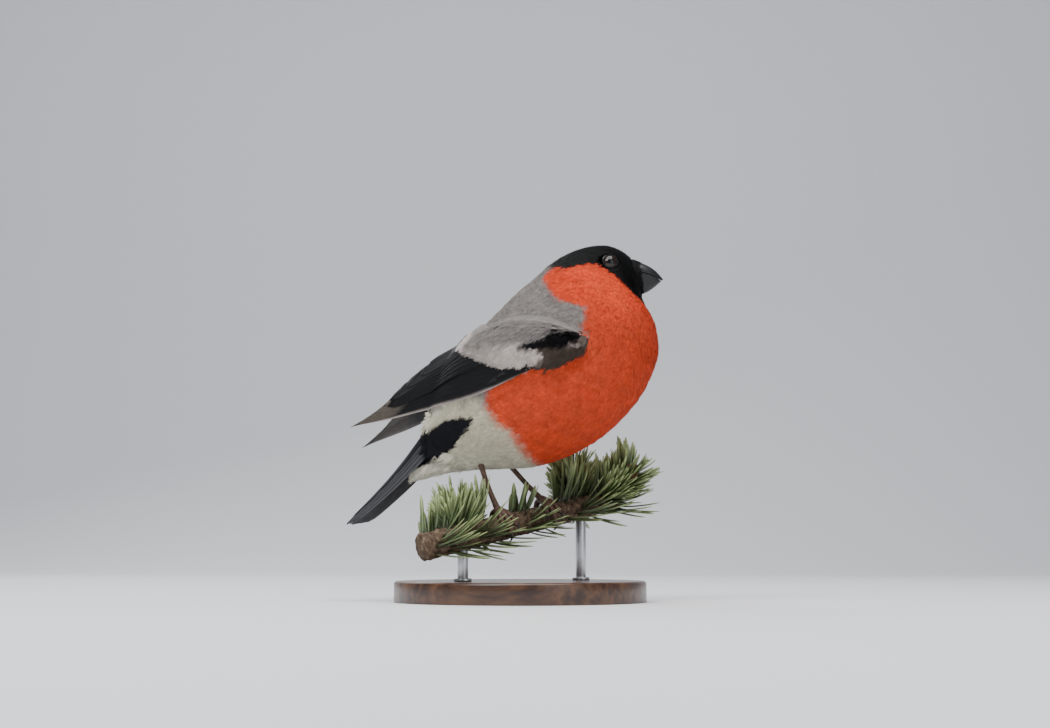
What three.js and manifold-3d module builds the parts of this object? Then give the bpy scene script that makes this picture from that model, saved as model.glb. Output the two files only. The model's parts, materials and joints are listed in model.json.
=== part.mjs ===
// A male bullfinch, life size, standing on a short cut length of fir branch that a plain display stand holds.
// Millimetres, +Z up. The bird faces +X, its right side is towards -Y, and the origin is under the middle of the base.
import * as THREE from "three";
import { mergeVertices } from "three/addons/utils/BufferGeometryUtils.js";
import Module from "manifold-3d";

const wasm = await Module();
wasm.setup();

// Driving sizes
const GAP = 0.3; // between pieces that touch
const HEAD_TURN = 12; // degrees to the bird's left
const NECK_PIVOT = 20; // x of the upright axis the head turns about
const TORSO_ENDS = 8.6; // stations where the trunk meets the neck
const NECK_ENDS = 10.6; // and where the neck meets the head
const EYE = { x: 34.9, y: 10.3, z: 127.6, radius: 3.3 };
const GAZE = [0.22, 0.95, 0.12]; // the way the left eye faces
const WING_STEP = 0.3; // rise from one flight feather to the next
const VANE_CLEAR = 2; // how far outside the trunk a vane's corners stay
const LEFT_WING_DROOP = 7.5; // how much lower the far wing's tip hangs
const TAIL_ROOT = [-33.5, 72.6]; // x, z of the tail's ridge where it leaves the rump
const TAIL_SLOPE = 49; // degrees below level
const TAIL_LENGTH = 56;
const TAIL_SAG = 1.8; // how far the ridge dips below a straight line
const PERCH = { x: 1.2, z: 30.2, radius: 5, reach: 46, turn: 50, rise: 12 };
const BASE = { radius: 48, height: 8, rim: 1.2 };
const ROD_RADIUS = 2;
const ROD_PLACES = [-28, 28]; // along the perch, from its middle

// Body stations from under the tail to the bill: the back's and the belly's x and z, half the width there,
// and how far the widest level lies towards the belly, as a share of the half depth.
const BODY = [
  { back: [-44, 51.5], belly: [-45.5, 45], half: 2.5, low: 0 },
  { back: [-43, 60], belly: [-38, 46.4], half: 7, low: 0 },
  { back: [-40, 69.5], belly: [-28, 48.6], half: 12, low: 0 },
  { back: [-35, 79], belly: [-18, 49.6], half: 16.5, low: 0.05 },
  { back: [-29, 88], belly: [-6, 50.2], half: 20.5, low: 0.1 },
  { back: [-22.5, 96.5], belly: [7.4, 51.4], half: 23, low: 0.1 },
  { back: [-15.5, 104.6], belly: [22, 56.4], half: 25, low: 0.1 },
  { back: [-7.9, 112], belly: [35.4, 64.9], half: 26, low: 0.1 },
  { back: [-0.1, 119.2], belly: [47.4, 78.2], half: 25.4, low: 0.12 },
  { back: [7.5, 125.3], belly: [53.4, 92.6], half: 23.2, low: 0.15 },
  { back: [14.2, 130.8], belly: [53, 103.8], half: 19.6, low: 0.2 },
  { back: [21, 134.4], belly: [50.8, 109.8], half: 16.2, low: 0.22 },
  { back: [28.2, 136.3], belly: [49, 112.8], half: 14, low: 0.18 },
  { back: [35, 136.2], belly: [48.6, 114.8], half: 12.2, low: 0.12 },
  { back: [41, 133.6], belly: [48, 116], half: 9.4, low: 0.05 },
  { back: [44.6, 130.4], belly: [46.8, 117.4], half: 6, low: 0 },
];
const BODY_AROUND = 32;

const HALF_TURN = Math.PI;
const radians = THREE.MathUtils.degToRad;
const point = (x, y, z) => new THREE.Vector3(x, y, z);
const lerp = THREE.MathUtils.lerp;
const smooth = THREE.MathUtils.smoothstep;

// Materials
const colour = (hex, roughness) =>
  new THREE.MeshStandardMaterial({ color: hex, roughness, metalness: 0 });
const FINISH = {
  red: colour(0xd8492b, 0.85),
  grey: colour(0x84878a, 0.85),
  black: colour(0x121317, 0.6),
  bill: colour(0x1c1c1f, 0.35),
  eye: colour(0x1a0f0a, 0.08),
  leg: colour(0x3b281f, 0.6),
  bark: colour(0x6b5136, 0.9),
  wood: colour(0x4a2f1e, 0.5),
  metal: new THREE.MeshStandardMaterial({
    color: 0x8c8f92,
    roughness: 0.35,
    metalness: 1,
  }),
};

// A closed solid from a geometry, its shared corners merged and its faces turned outwards.
function solid(geometry) {
  const bare = geometry.clone();
  for (const name of Object.keys(bare.attributes)) {
    if (name !== "position") bare.deleteAttribute(name);
  }
  const merged = mergeVertices(bare, 1e-4);
  const index = merged.index.array;
  const faces = [];
  for (let i = 0; i < index.length; i += 3) {
    const [a, b, c] = [index[i], index[i + 1], index[i + 2]];
    if (a !== b && b !== c && c !== a) faces.push(a, b, c);
  }
  const vertProperties = new Float32Array(merged.attributes.position.array);
  const make = (triVerts) =>
    new wasm.Manifold(
      new wasm.Mesh({ numProp: 3, vertProperties, triVerts }),
    );
  const made = make(new Uint32Array(faces));
  if (made.volume() > 0) return made;
  for (let i = 0; i < faces.length; i += 3) {
    [faces[i + 1], faces[i + 2]] = [faces[i + 2], faces[i + 1]];
  }
  return make(new Uint32Array(faces));
}

// The largest single body of a solid.
function largest(manifold) {
  return manifold
    .decompose()
    .sort((a, b) => b.volume() - a.volume())[0];
}

const join = (pieces) => pieces.reduce((all, piece) => all.add(piece));

// A named mesh of one solid.
function mesh(name, manifold, material) {
  const made = largest(manifold).getMesh();
  const corners = new Float32Array(made.numVert * 3);
  for (let i = 0; i < made.numVert; i++) {
    for (let k = 0; k < 3; k++) {
      corners[i * 3 + k] = made.vertProperties[i * made.numProp + k];
    }
  }
  const geometry = new THREE.BufferGeometry();
  geometry.setAttribute("position", new THREE.BufferAttribute(corners, 3));
  geometry.setIndex(new THREE.BufferAttribute(made.triVerts, 1));
  geometry.computeVertexNormals();
  const node = new THREE.Mesh(geometry, material);
  node.name = name;
  return node;
}

// A closed cylinder with every corner moved: place gets the angle, the share of the length and the share of the radius.
function moulded(around, lengths, place) {
  const geometry = new THREE.CylinderGeometry(1, 1, 1, around, lengths);
  const at = geometry.getAttribute("position");
  for (let i = 0; i < at.count; i++) {
    const reach = Math.hypot(at.getX(i), at.getZ(i)) > 0.5 ? 1 : 0;
    const share = Math.atan2(at.getZ(i), at.getX(i)) / (2 * HALF_TURN);
    const step = (Math.round(share * around) + around) % around;
    const turn = reach ? (step / around) * 2 * HALF_TURN : 0;
    const along = Math.round((at.getY(i) + 0.5) * lengths) / lengths;
    const moved = place(turn, along, reach);
    at.setXYZ(i, moved.x, moved.y, moved.z);
  }
  return solid(geometry);
}

// A plate of even split: place gets the share along, the share across, and 1 on the outer face or 0 on the inner.
function plate(lengths, across, place) {
  const count = (lengths + 1) * (across + 1);
  const corners = [];
  for (const face of [1, 0]) {
    for (let i = 0; i <= lengths; i++) {
      for (let j = 0; j <= across; j++) {
        corners.push(...place(i / lengths, j / across, face).toArray());
      }
    }
  }
  const id = (i, j, face) => (face ? 0 : count) + i * (across + 1) + j;
  const faces = [];
  for (let i = 0; i < lengths; i++) {
    for (let j = 0; j < across; j++) {
      const [a, b, c, d] = [[i, j], [i + 1, j], [i + 1, j + 1], [i, j + 1]];
      faces.push(id(...a, 1), id(...b, 1), id(...c, 1));
      faces.push(id(...a, 1), id(...c, 1), id(...d, 1));
      faces.push(id(...a, 0), id(...c, 0), id(...b, 0));
      faces.push(id(...a, 0), id(...d, 0), id(...c, 0));
    }
  }
  const rim = [];
  for (let i = 0; i < lengths; i++) rim.push([i, 0]);
  for (let j = 0; j < across; j++) rim.push([lengths, j]);
  for (let i = lengths; i > 0; i--) rim.push([i, across]);
  for (let j = across; j > 0; j--) rim.push([0, j]);
  rim.forEach((from, k) => {
    const to = rim[(k + 1) % rim.length];
    faces.push(id(...from, 1), id(...from, 0), id(...to, 0));
    faces.push(id(...from, 1), id(...to, 0), id(...to, 1));
  });
  const geometry = new THREE.BufferGeometry();
  geometry.setAttribute(
    "position",
    new THREE.Float32BufferAttribute(corners, 3),
  );
  geometry.setIndex(faces);
  return solid(geometry);
}

// A round limb along a curve, its radius given by a function of the share of the length.
function limb(curve, radius, around, lengths) {
  const frames = curve.computeFrenetFrames(lengths, false);
  return moulded(around, lengths, (turn, along, reach) => {
    const i = Math.round(along * lengths);
    const out = reach * radius(along);
    return curve
      .getPointAt(along)
      .addScaledVector(frames.normals[i], Math.cos(turn) * out)
      .addScaledVector(frames.binormals[i], Math.sin(turn) * out);
  });
}

// The trunk, neck and head as one run of rings
const plane = (list) =>
  new THREE.SplineCurve(list.map(([x, y]) => new THREE.Vector2(x, y)));
const backLine = plane(BODY.map((s) => s.back));
const bellyLine = plane(BODY.map((s) => s.belly));
const girth = plane(BODY.map((s) => [s.half, s.low]));
const LAST = BODY.length - 1;

// The ring at a station: its middle, half its depth towards the back, half its width, and how it sags.
function ring(station) {
  const share = station / LAST;
  const back = backLine.getPoint(share);
  const belly = bellyLine.getPoint(share);
  const { x: half, y: low } = girth.getPoint(share);
  return {
    middle: point((back.x + belly.x) / 2, 0, (back.y + belly.y) / 2),
    up: point((back.x - belly.x) / 2, 0, (back.y - belly.y) / 2),
    half,
    low,
  };
}

// Turns a point of the neck or head with the head, by the share that its station has.
function turned(p, share) {
  const angle = radians(HEAD_TURN) * share;
  return p
    .sub(point(NECK_PIVOT, 0, 0))
    .applyAxisAngle(point(0, 0, 1), angle)
    .add(point(NECK_PIVOT, 0, 0));
}

const turnShare = (station) => smooth(station, TORSO_ENDS, NECK_ENDS);

// A point of the body's skin, or as far outside it as grow says. The turn runs from the back over the right side.
function skin(station, turn, grow, reach = 1) {
  const { middle, up, half, low } = ring(station);
  const wide = (half + grow) * (1 - low * Math.cos(turn)) * Math.sin(turn);
  const deep = (1 + grow / up.length()) * Math.cos(turn);
  const p = middle.clone().addScaledVector(up, reach * deep);
  p.y -= reach * wide;
  return turned(p, turnShare(station));
}

// The closed length of body between two stations.
function bodyLength(from, to, lengths, grow = 0) {
  return moulded(BODY_AROUND, lengths, (turn, along, reach) =>
    skin(lerp(from, to, along), turn, grow, reach),
  );
}

// The ring that a point of the trunk lies in, found by halving.
function stationOf(p) {
  let low = 0;
  let high = TORSO_ENDS + 1;
  for (let i = 0; i < 22; i++) {
    const station = (low + high) / 2;
    const { middle, up } = ring(station);
    const ahead = (p.x - middle.x) * up.z - (p.z - middle.z) * up.x;
    if (ahead > 0) low = station;
    else high = station;
  }
  return (low + high) / 2;
}

// Moves a point straight out of its ring until it is at least lift outside the trunk.
function clearOfBody(p, lift) {
  const station = stationOf(p);
  if (station < 0.3) return p;
  const { middle, up, half, low } = ring(station);
  const depth = up.length();
  const rise = p.clone().sub(middle).dot(up) / depth;
  const size = Math.hypot(rise, p.y);
  if (size < 0.01) return p;
  let out = size;
  for (let i = 0; i < 8; i++) {
    const level = THREE.MathUtils.clamp((rise * out) / size / depth, -1, 1);
    const wide = half * (1 - low * level);
    const full = Math.hypot(rise / size / depth, p.y / size / wide);
    out = (out + 1 / full) / 2;
  }
  const least = out + lift;
  if (size >= least) return p;
  const back = up.clone().multiplyScalar(1 / depth);
  const moved = middle.clone().addScaledVector(back, (rise * least) / size);
  moved.y = (p.y * least) / size;
  return moved;
}

// The tail's own frame: along it, across it to the right, and up from its top
const tailAlong = point(
  -Math.cos(radians(TAIL_SLOPE)),
  0,
  -Math.sin(radians(TAIL_SLOPE)),
);
const tailUp = point(
  -Math.sin(radians(TAIL_SLOPE)),
  0,
  Math.cos(radians(TAIL_SLOPE)),
);
const TAIL_HALF = { root: 7.5, tip: 9 };
const TAIL_ARCH = { root: 10, tip: 3.6 };
const TAIL_PAIRS = 6;

// A point of the tail's arched top: along in mm, side from -1 to 1, and rise above the arch.
function tailPoint(along, side, rise) {
  const share = THREE.MathUtils.clamp(along / TAIL_LENGTH, 0, 1);
  const half = lerp(TAIL_HALF.root, TAIL_HALF.tip, share);
  const arch = lerp(TAIL_ARCH.root, TAIL_ARCH.tip, share);
  const p = point(TAIL_ROOT[0], 0, TAIL_ROOT[1]);
  const sag = TAIL_SAG * Math.sin(HALF_TURN * share);
  p.addScaledVector(tailAlong, along);
  p.addScaledVector(tailUp, rise - sag - arch * side * side);
  p.y = -side * half;
  return p;
}

function tail() {
  const vanes = [];
  const width = 8.4;
  for (let pair = 0; pair < TAIL_PAIRS; pair++) {
    for (const hand of [-1, 1]) {
      const middle = (hand * (pair + 0.5)) / TAIL_PAIRS;
      const length = TAIL_LENGTH - (pair === 0 ? 2.5 : 0) - (pair > 3 ? pair - 3 : 0);
      const rise = -0.35 * pair - (hand > 0 ? 0.17 : 0);
      vanes.push(
        plate(5, 2, (along, across, face) => {
          const share = along * along;
          const tip = 1 - Math.pow(Math.max(0, along - 0.86) / 0.14, 2) * 0.72;
          const root = smooth(along, -0.1, 0.3);
          const half = (width / 2) * root * tip;
          const reach = along * length;
          const spread = lerp(TAIL_HALF.root, TAIL_HALF.tip, along);
          const side = middle * 0.62 + ((across - 0.5) * 2 * half) / spread;
          return tailPoint(reach, side, rise - (1 - face) * 0.6 - share * 0.1);
        }),
      );
    }
  }
  const root = plate(5, 6, (along, across, face) =>
    tailPoint(
      along * 20,
      lerp(-1, 1, across),
      face ? 1.2 * (1 - along) : -2.6 * (1 - along) - 1.4,
    ),
  );
  return join([root, ...vanes]);
}

// All that lies above the tail's underside, which the trunk gives way to.
function tailRoom() {
  return plate(6, 8, (along, across, face) =>
    tailPoint(
      lerp(-GAP, TAIL_LENGTH, along),
      lerp(-1.5, 1.5, across),
      face ? 40 : -4 - 2 * GAP + 2.2 * Math.min(1, along * 3),
    ),
  );
}

// The folded right wing's two guides, from the wrist to the tip: the lower edge, and the upper edge along the back.
const LOWER_EDGE = [
  [33.6, -22.8, 96],
  [24, -26.4, 88.6],
  [10.7, -27, 85.2],
  [-5.3, -24.5, 78.8],
  [-20, -19, 74.4],
  [-34.5, -12.5, 72.4],
  [-50.3, -8.5, 69.6],
  [-66.8, -6.4, 66.8],
];
const UPPER_EDGE = [
  [33, -22.6, 98.4],
  [20, -22, 105.5],
  [6, -18, 108],
  [-8, -12, 105.5],
  [-20, -6.5, 98.2],
  [-35.8, -5, 87.4],
  [-50.3, -5.6, 76],
  [-66.8, -6, 67.6],
];
const WING_BULGE = 1.5;
const DROOP_FROM = -38; // the far wing hangs lower behind this x

// One wing's surface: side is -1 on the right and 1 on the left, along runs wrist to tip, up runs lower to upper edge.
function wingSurface(side) {
  const guide = (list) =>
    new THREE.CatmullRomCurve3(
      list.map(([x, y, z]) => {
        const share = Math.max(0, (DROOP_FROM - x) / (DROOP_FROM + 66.8));
        const fall = side > 0 ? LEFT_WING_DROOP * Math.pow(share, 0.85) : 0;
        return point(x, -side * y, z - fall);
      }),
    );
  const lower = guide(LOWER_EDGE);
  const upper = guide(UPPER_EDGE);
  const out = point(-0.25, side * 0.8, 0.55).normalize();
  const flat = (along, up) => {
    const a = THREE.MathUtils.clamp(along, 0, 1);
    const bulge = WING_BULGE * Math.sin(HALF_TURN * up) * (1 - a * a);
    const p = lower.getPointAt(a).lerp(upper.getPointAt(a), up);
    return p.addScaledVector(out, bulge);
  };
  // The outward direction there.
  const normal = (along, up) => {
    const a = THREE.MathUtils.clamp(along, 0.03, 0.97);
    const u = THREE.MathUtils.clamp(up, 0.05, 0.95);
    const forth = flat(a + 0.03, u).sub(flat(a - 0.03, u));
    const over = flat(a, u + 0.05).sub(flat(a, u - 0.05));
    return over.cross(forth).multiplyScalar(side).normalize();
  };
  return { flat, normal };
}

// A flight or covert feather on a wing, from its root to its tip along its lower margin, both as [along, up].
function wingFeather(wing, side, feather) {
  const { root, tip, width, lift, steps = 6, point: sharp = 1 } = feather;
  return plate(steps, 1, (along, across, face) => {
    const u = lerp(root[0], tip[0], along);
    const v = lerp(root[1], tip[1], along);
    const edge = wing.flat(u, v);
    const over = wing
      .flat(u, Math.min(v + 0.1, 1.1))
      .sub(wing.flat(u, v - 0.02))
      .normalize();
    const out = wing.normal(u, v);
    const taper = 1 - Math.pow(along, 2 + 3 / sharp) * 0.86;
    const wide = width * taper * smooth(along, -0.35, 0.3);
    const margin = (1 - taper) * width * 0.25;
    edge.addScaledVector(over, margin + across * wide);
    const height = lift + face * 0.6 - across * 0.25;
    const moved = clearOfBody(edge, VANE_CLEAR);
    return moved.addScaledVector(out, height);
  });
}

// The wing's tiers, each a run of feathers from the outermost to the innermost.
const WING_TIERS = [
  {
    count: 8,
    root: (i) => [0.32, 0.02 + 0.05 * i],
    tip: (i) => [[0.965, 1, 0.985, 0.965, 0.94, 0.915, 0.89, 0.87][i], 0.04 + 0.1 * i],
    width: 6,
    lift: 0,
    steps: 7,
    point: 1.6,
  },
  {
    count: 6,
    root: (i) => [0.3, 0.4 + 0.06 * i],
    tip: (i) => [0.85 - 0.008 * i, 0.4 + 0.085 * i],
    width: 8,
    lift: 2,
    steps: 5,
    point: 1,
  },
  {
    count: 3,
    root: (i) => [0.3, 0.72 + 0.05 * i],
    tip: (i) => [0.83 - 0.075 * i, 0.8 + 0.05 * i],
    width: 8.5,
    lift: 3.4,
    steps: 5,
    point: 0.8,
  },
  {
    count: 4,
    root: (i) => [0.06, 0.02 + 0.05 * i],
    tip: (i) => [0.34 - 0.03 * i, 0.03 + 0.06 * i],
    width: 5.5,
    lift: 1,
    steps: 3,
    point: 0.8,
  },
  {
    count: 9,
    root: (i) => [0.14 + 0.024 * i, 0.12 + 0.09 * i],
    tip: (i) => [0.29 + 0.028 * i, 0.14 + 0.09 * i],
    width: 6,
    lift: 2.2,
    steps: 3,
    point: 0.6,
  },
];

function wing(side) {
  const surface = wingSurface(side);
  const pieces = [];
  for (const tier of WING_TIERS) {
    for (let i = 0; i < tier.count; i++) {
      const feather = {
        ...tier,
        root: tier.root(i),
        tip: tier.tip(i),
        lift: tier.lift + i * WING_STEP,
      };
      pieces.push(wingFeather(surface, side, feather));
    }
  }
  const pad = plate(10, 6, (along, across, face) => {
    const u = lerp(0, 0.5, along);
    const v = lerp(0.02, 0.98, across);
    const middle = Math.sin(HALF_TURN * across) * Math.sin(HALF_TURN * along);
    const thick = 0.5 + 2.6 * Math.sqrt(Math.max(0, middle));
    const p = clearOfBody(surface.flat(u, v), GAP);
    return p.addScaledVector(surface.normal(u, v), face * thick - (1 - face));
  });
  return join([pad, ...pieces]).trimByPlane([0, side, 0], GAP);
}

// Bill. Its profile in the head's own frame: the culmen and the cutting edge from base to tip.
const CULMEN = plane([[40, 130.2], [44.8, 130], [48.8, 128.6], [52.4, 126.4], [55.6, 122.8]]);
const CUTTING = plane([[40, 125.4], [44, 125.1], [48, 124.8], [52, 123.7], [55.1, 122.1]]);
const KEEL = plane([[40, 117.2], [44.8, 116.8], [49, 117.6], [52.4, 119.9], [54.6, 122]]);
const BILL_HALF = plane([[0, 4.9], [1, 4.9], [2, 4.1], [3, 2.6], [4, 0.5]]);

function mandible(top, bottom, upper, grow) {
  return moulded(16, 9, (turn, along, reach) => {
    const [ridge, edge] = [top.getPoint(along), bottom.getPoint(along)];
    const half = BILL_HALF.getPoint(along).y + grow;
    const [side, rise] = [Math.cos(turn), Math.sin(turn)];
    const outer = upper ? rise > 0 : rise < 0;
    const [round, flat] = upper ? [ridge, edge] : [edge, ridge];
    const share = outer ? Math.pow(Math.abs(rise), 0.9) : 0;
    const x = lerp(flat.x, round.x, share * reach);
    const slack = upper ? GAP / 2 : -GAP / 2;
    const sign = upper ? 1 : -1;
    const z = lerp(flat.y + slack, round.y + sign * grow, share * reach);
    const inner = outer ? 0 : sign * (grow ? -grow : 0) * Math.abs(rise);
    return point(x, -side * half * reach * (1 - 0.12 * share), z + inner * reach);
  });
}

const upperMandible = (grow = 0) => mandible(CULMEN, CUTTING, true, grow);
const lowerMandible = (grow = 0) => mandible(CUTTING, KEEL, false, grow);

function ball(radius, at, fine = 16) {
  const geometry = new THREE.SphereGeometry(radius, fine, Math.round(fine * 0.6));
  geometry.translate(at.x, at.y, at.z);
  return solid(geometry);
}

const eyeAt = (side) => point(EYE.x, side * EYE.y, EYE.z);

// The eyelid's raised ring on the side of the head.
function eyelid(side) {
  const ahead = point(GAZE[0], side * GAZE[1], GAZE[2]).normalize();
  const geometry = new THREE.TorusGeometry(2.7, 0.6, 5, 16);
  const spin = new THREE.Quaternion().setFromUnitVectors(point(0, 0, 1), ahead);
  geometry.applyQuaternion(spin);
  const at = eyeAt(side).addScaledVector(ahead, 2.2);
  geometry.translate(at.x, at.y, at.z);
  return solid(geometry);
}

// Feet
const perchAlong = point(
  Math.cos(radians(PERCH.turn)) * Math.cos(radians(PERCH.rise)),
  Math.sin(radians(PERCH.turn)) * Math.cos(radians(PERCH.rise)),
  Math.sin(radians(PERCH.rise)),
);
const perchAcross = point(0, 0, 1).cross(perchAlong).normalize().negate(); // towards the bird's front
const perchUp = perchAlong.clone().cross(perchAcross).normalize().negate();
if (perchUp.z < 0) perchUp.negate();
const perchPoint = (along, angle, out) =>
  point(PERCH.x, 0, PERCH.z)
    .addScaledVector(perchAlong, along)
    .addScaledVector(perchAcross, Math.sin(angle) * out)
    .addScaledVector(perchUp, Math.cos(angle) * out);

const FOOT_ALONG = 10.4; // from the perch's middle to each foot
const TOE_RADIUS = 1.05;
const CLAW_LENGTH = 4.6;
// Each toe: where it lies along the perch at its start and end, how far it wraps in degrees, and its thickness.
const TOES = [
  { name: "hallux", start: 0, end: 0.4, wrap: -100, thick: 1.1 },
  { name: "inner", start: 0.9, end: 3.4, wrap: 84, thick: 0.9 },
  { name: "middle", start: 0, end: 0, wrap: 112, thick: 1 },
  { name: "outer", start: -0.9, end: -3.2, wrap: 88, thick: 0.9 },
];

function foot(side) {
  const at = side * FOOT_ALONG;
  const rest = PERCH.radius + GAP;
  const pieces = [ball(1.75, perchPoint(at, 0, rest + 1.5), 10), shank(side)];
  for (const toe of TOES) {
    const radius = TOE_RADIUS * toe.thick;
    const way = Math.sign(toe.wrap);
    const path = [];
    for (let i = 0; i <= 6; i++) {
      const share = i / 6;
      const along = at + side * lerp(toe.start, toe.end, share);
      const lift = rest + radius + 0.7 * Math.pow(1 - share, 3) - 0.1;
      path.push(perchPoint(along, radians(toe.wrap) * share, lift));
    }
    const curve = new THREE.CatmullRomCurve3(path);
    const pad = (share) =>
      radius * (1.12 - 0.28 * share) * (1 + 0.09 * Math.cos(share * 6 * HALF_TURN));
    pieces.push(limb(curve, pad, 6, 8));
    const end = radians(toe.wrap);
    const claw = [];
    for (let i = 0; i <= 4; i++) {
      const share = i / 4;
      const angle = end + way * share * 0.62 - way * 0.08;
      const lift = rest + radius * 1.1 + 1.3 * Math.sin(share * HALF_TURN * 0.62);
      claw.push(perchPoint(at + side * toe.end, angle, lift - share * share * 1.2));
    }
    const clawCurve = new THREE.CatmullRomCurve3(claw);
    pieces.push(limb(clawCurve, (share) => lerp(0.72, 0.14, share), 5, 4));
  }
  return join(pieces);
}

// Leg: the bare shank from the foot to the heel, and the feathered part from there into the belly
const HEEL = { x: -14.5, y: 8.6, z: 51.5 };
const heelOf = (side) =>
  point(HEEL.x + (side > 0 ? 6 : 0), side * HEEL.y, HEEL.z + (side > 0 ? 1 : 0));

function shank(side) {
  const ankle = perchPoint(side * FOOT_ALONG, 0, PERCH.radius + GAP + 1.5);
  const heel = heelOf(side);
  const path = [ankle, ankle.clone().lerp(heel, 0.5), heel];
  return limb(
    new THREE.CatmullRomCurve3(path),
    (share) => 0.95 + 0.45 * Math.pow(2 * Math.abs(share - 0.5), 3),
    8,
    6,
  );
}

// The feathered thigh that bulges out of the belly down to the heel.
function thigh(side, grow = 0) {
  const heel = heelOf(side);
  const path = [
    heel.clone().add(point(-0.6 - grow, 0, -0.4 - grow)),
    heel.clone().add(point(4.5, 0, 4)),
    heel.clone().add(point(11, side, 8)),
  ];
  return limb(
    new THREE.CatmullRomCurve3(path),
    (share) => 1.7 + 3.8 * smooth(share, 0, 0.7) + grow,
    14,
    7,
  );
}

// Perch: the cut length of branch with two side shoots and their buds
function branch(grow = 0) {
  const knots = (turn, along) =>
    0.28 * Math.sin(5 * turn + 9 * along) + 0.22 * Math.sin(3 * turn - 14 * along);
  return moulded(16, 18, (turn, along, reach) => {
    const at = lerp(-PERCH.reach, PERCH.reach, along);
    const radius = PERCH.radius - 0.012 * at - (grow ? 0 : 0.3) + grow;
    const out = reach * (radius + (grow ? 0.35 : knots(turn, along)));
    return perchPoint(at, turn, out);
  });
}

const SHOOTS = [
  { at: 27, angle: -58, length: 21, lean: 0.45 },
  { at: 34, angle: 62, length: 16, lean: 0.8 },
  { at: -30, angle: -70, length: 13, lean: 0.6 },
];

function perch() {
  const pieces = [branch()];
  for (const shoot of SHOOTS) {
    const angle = radians(shoot.angle);
    const path = [0, 0.35, 0.7, 1].map((share) =>
      perchPoint(
        shoot.at + shoot.length * shoot.lean * share,
        angle * (1 - 0.25 * share),
        2 + shoot.length * share * 0.8,
      ),
    );
    const curve = new THREE.CatmullRomCurve3(path);
    pieces.push(limb(curve, (share) => lerp(2.3, 1.7, share), 8, 4));
    const tip = path[3];
    const ahead = curve.getTangentAt(1);
    pieces.push(bud(tip, ahead, 2.5));
    for (const side of [-1, 1]) {
      const off = ahead.clone().cross(perchUp).normalize().multiplyScalar(side * 2.3);
      pieces.push(bud(tip.clone().add(off).addScaledVector(ahead, -1.2), ahead, 1.9));
    }
  }
  return join(pieces);
}

// An egg-shaped bud that points ahead.
function bud(at, ahead, radius) {
  const geometry = new THREE.SphereGeometry(radius, 7, 6);
  geometry.scale(1, 1.35, 1);
  const spin = new THREE.Quaternion().setFromUnitVectors(point(0, 1, 0), ahead);
  geometry.applyQuaternion(spin);
  geometry.translate(at.x, at.y, at.z);
  return solid(geometry);
}

// Stand
function base() {
  const { radius, height, rim } = BASE;
  const profile = [
    [0, 0],
    [radius, 0],
    [radius, height - rim],
    [radius - rim * 0.3, height - rim * 0.3],
    [radius - rim, height],
    [0, height],
  ].map(([x, y]) => new THREE.Vector2(x, y));
  const geometry = new THREE.LatheGeometry(profile, 48);
  geometry.rotateX(HALF_TURN / 2);
  return solid(geometry);
}

function rod(along) {
  const top = perchPoint(along, 0, 0);
  const height = top.z - BASE.height - GAP;
  const geometry = new THREE.CylinderGeometry(ROD_RADIUS, ROD_RADIUS, height, 16);
  geometry.rotateX(HALF_TURN / 2);
  geometry.translate(top.x, top.y, BASE.height + GAP + height / 2);
  return largest(solid(geometry).subtract(branch(GAP)));
}

// Put together
const bird = new THREE.Group();
const room = tailRoom();
const trunkRoom = join([
  bodyLength(0, TORSO_ENDS + 1.2, 40, GAP),
  thigh(-1, GAP),
  thigh(1, GAP),
]);
const trunk = join([bodyLength(0, TORSO_ENDS, 26), thigh(-1), thigh(1)]);
bird.add(mesh("torso", trunk.subtract(room), FINISH.red));
bird.add(mesh("neck", bodyLength(TORSO_ENDS + 0.03, NECK_ENDS, 8), FINISH.grey));

const head = new THREE.Group();
const turnHead = new THREE.Matrix4()
  .makeTranslation(NECK_PIVOT, 0, 0)
  .multiply(new THREE.Matrix4().makeRotationZ(radians(HEAD_TURN)))
  .multiply(new THREE.Matrix4().makeTranslation(-NECK_PIVOT, 0, 0));
head.applyMatrix4(turnHead);
bird.add(head);

// The skull is made straight ahead, and the group turns it.
let skull = moulded(28, 14, (turn, along, reach) => {
  const station = lerp(NECK_ENDS + 0.04, LAST, along);
  const p = skin(station, turn, 0, reach);
  return turned(p, -1);
});
for (const side of [-1, 1]) {
  skull = skull.add(eyelid(side)).subtract(ball(EYE.radius + GAP, eyeAt(side), 16));
}
skull = skull.subtract(upperMandible(GAP)).subtract(lowerMandible(GAP));
head.add(mesh("head", skull, FINISH.black));
head.add(mesh("bill_upper", upperMandible(), FINISH.bill));
head.add(mesh("bill_lower", lowerMandible(), FINISH.bill));
head.add(mesh("eye_right", ball(EYE.radius, eyeAt(-1), 16), FINISH.eye));
head.add(mesh("eye_left", ball(EYE.radius, eyeAt(1), 16), FINISH.eye));

bird.add(mesh("tail", tail().subtract(trunkRoom.subtract(room)), FINISH.black));

for (const [side, name] of [
  [-1, "right"],
  [1, "left"],
]) {
  const feathers = wing(side).subtract(trunkRoom);
  bird.add(mesh("wing_" + name, feathers, FINISH.black));
  bird.add(mesh("leg_" + name, foot(side).subtract(trunkRoom), FINISH.leg));
}

const stand = new THREE.Group();
stand.add(mesh("stand_perch", perch(), FINISH.bark));
stand.add(mesh("stand_base", base(), FINISH.wood));
ROD_PLACES.forEach((along, i) => {
  stand.add(mesh("stand_rod_" + (i + 1), rod(along), FINISH.metal));
});

const bullfinch = new THREE.Group();
bullfinch.add(bird, stand);

export default bullfinch;
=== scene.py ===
"""The looks of a life-size male bullfinch that stands on a cut fir branch over a display stand.

Shapes are worked out in millimetres in the model's own frame: the bird faces +X, its right side is
towards -Y, and the origin lies under the middle of the base. Meshes are made in metres.
"""

from __future__ import annotations

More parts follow.
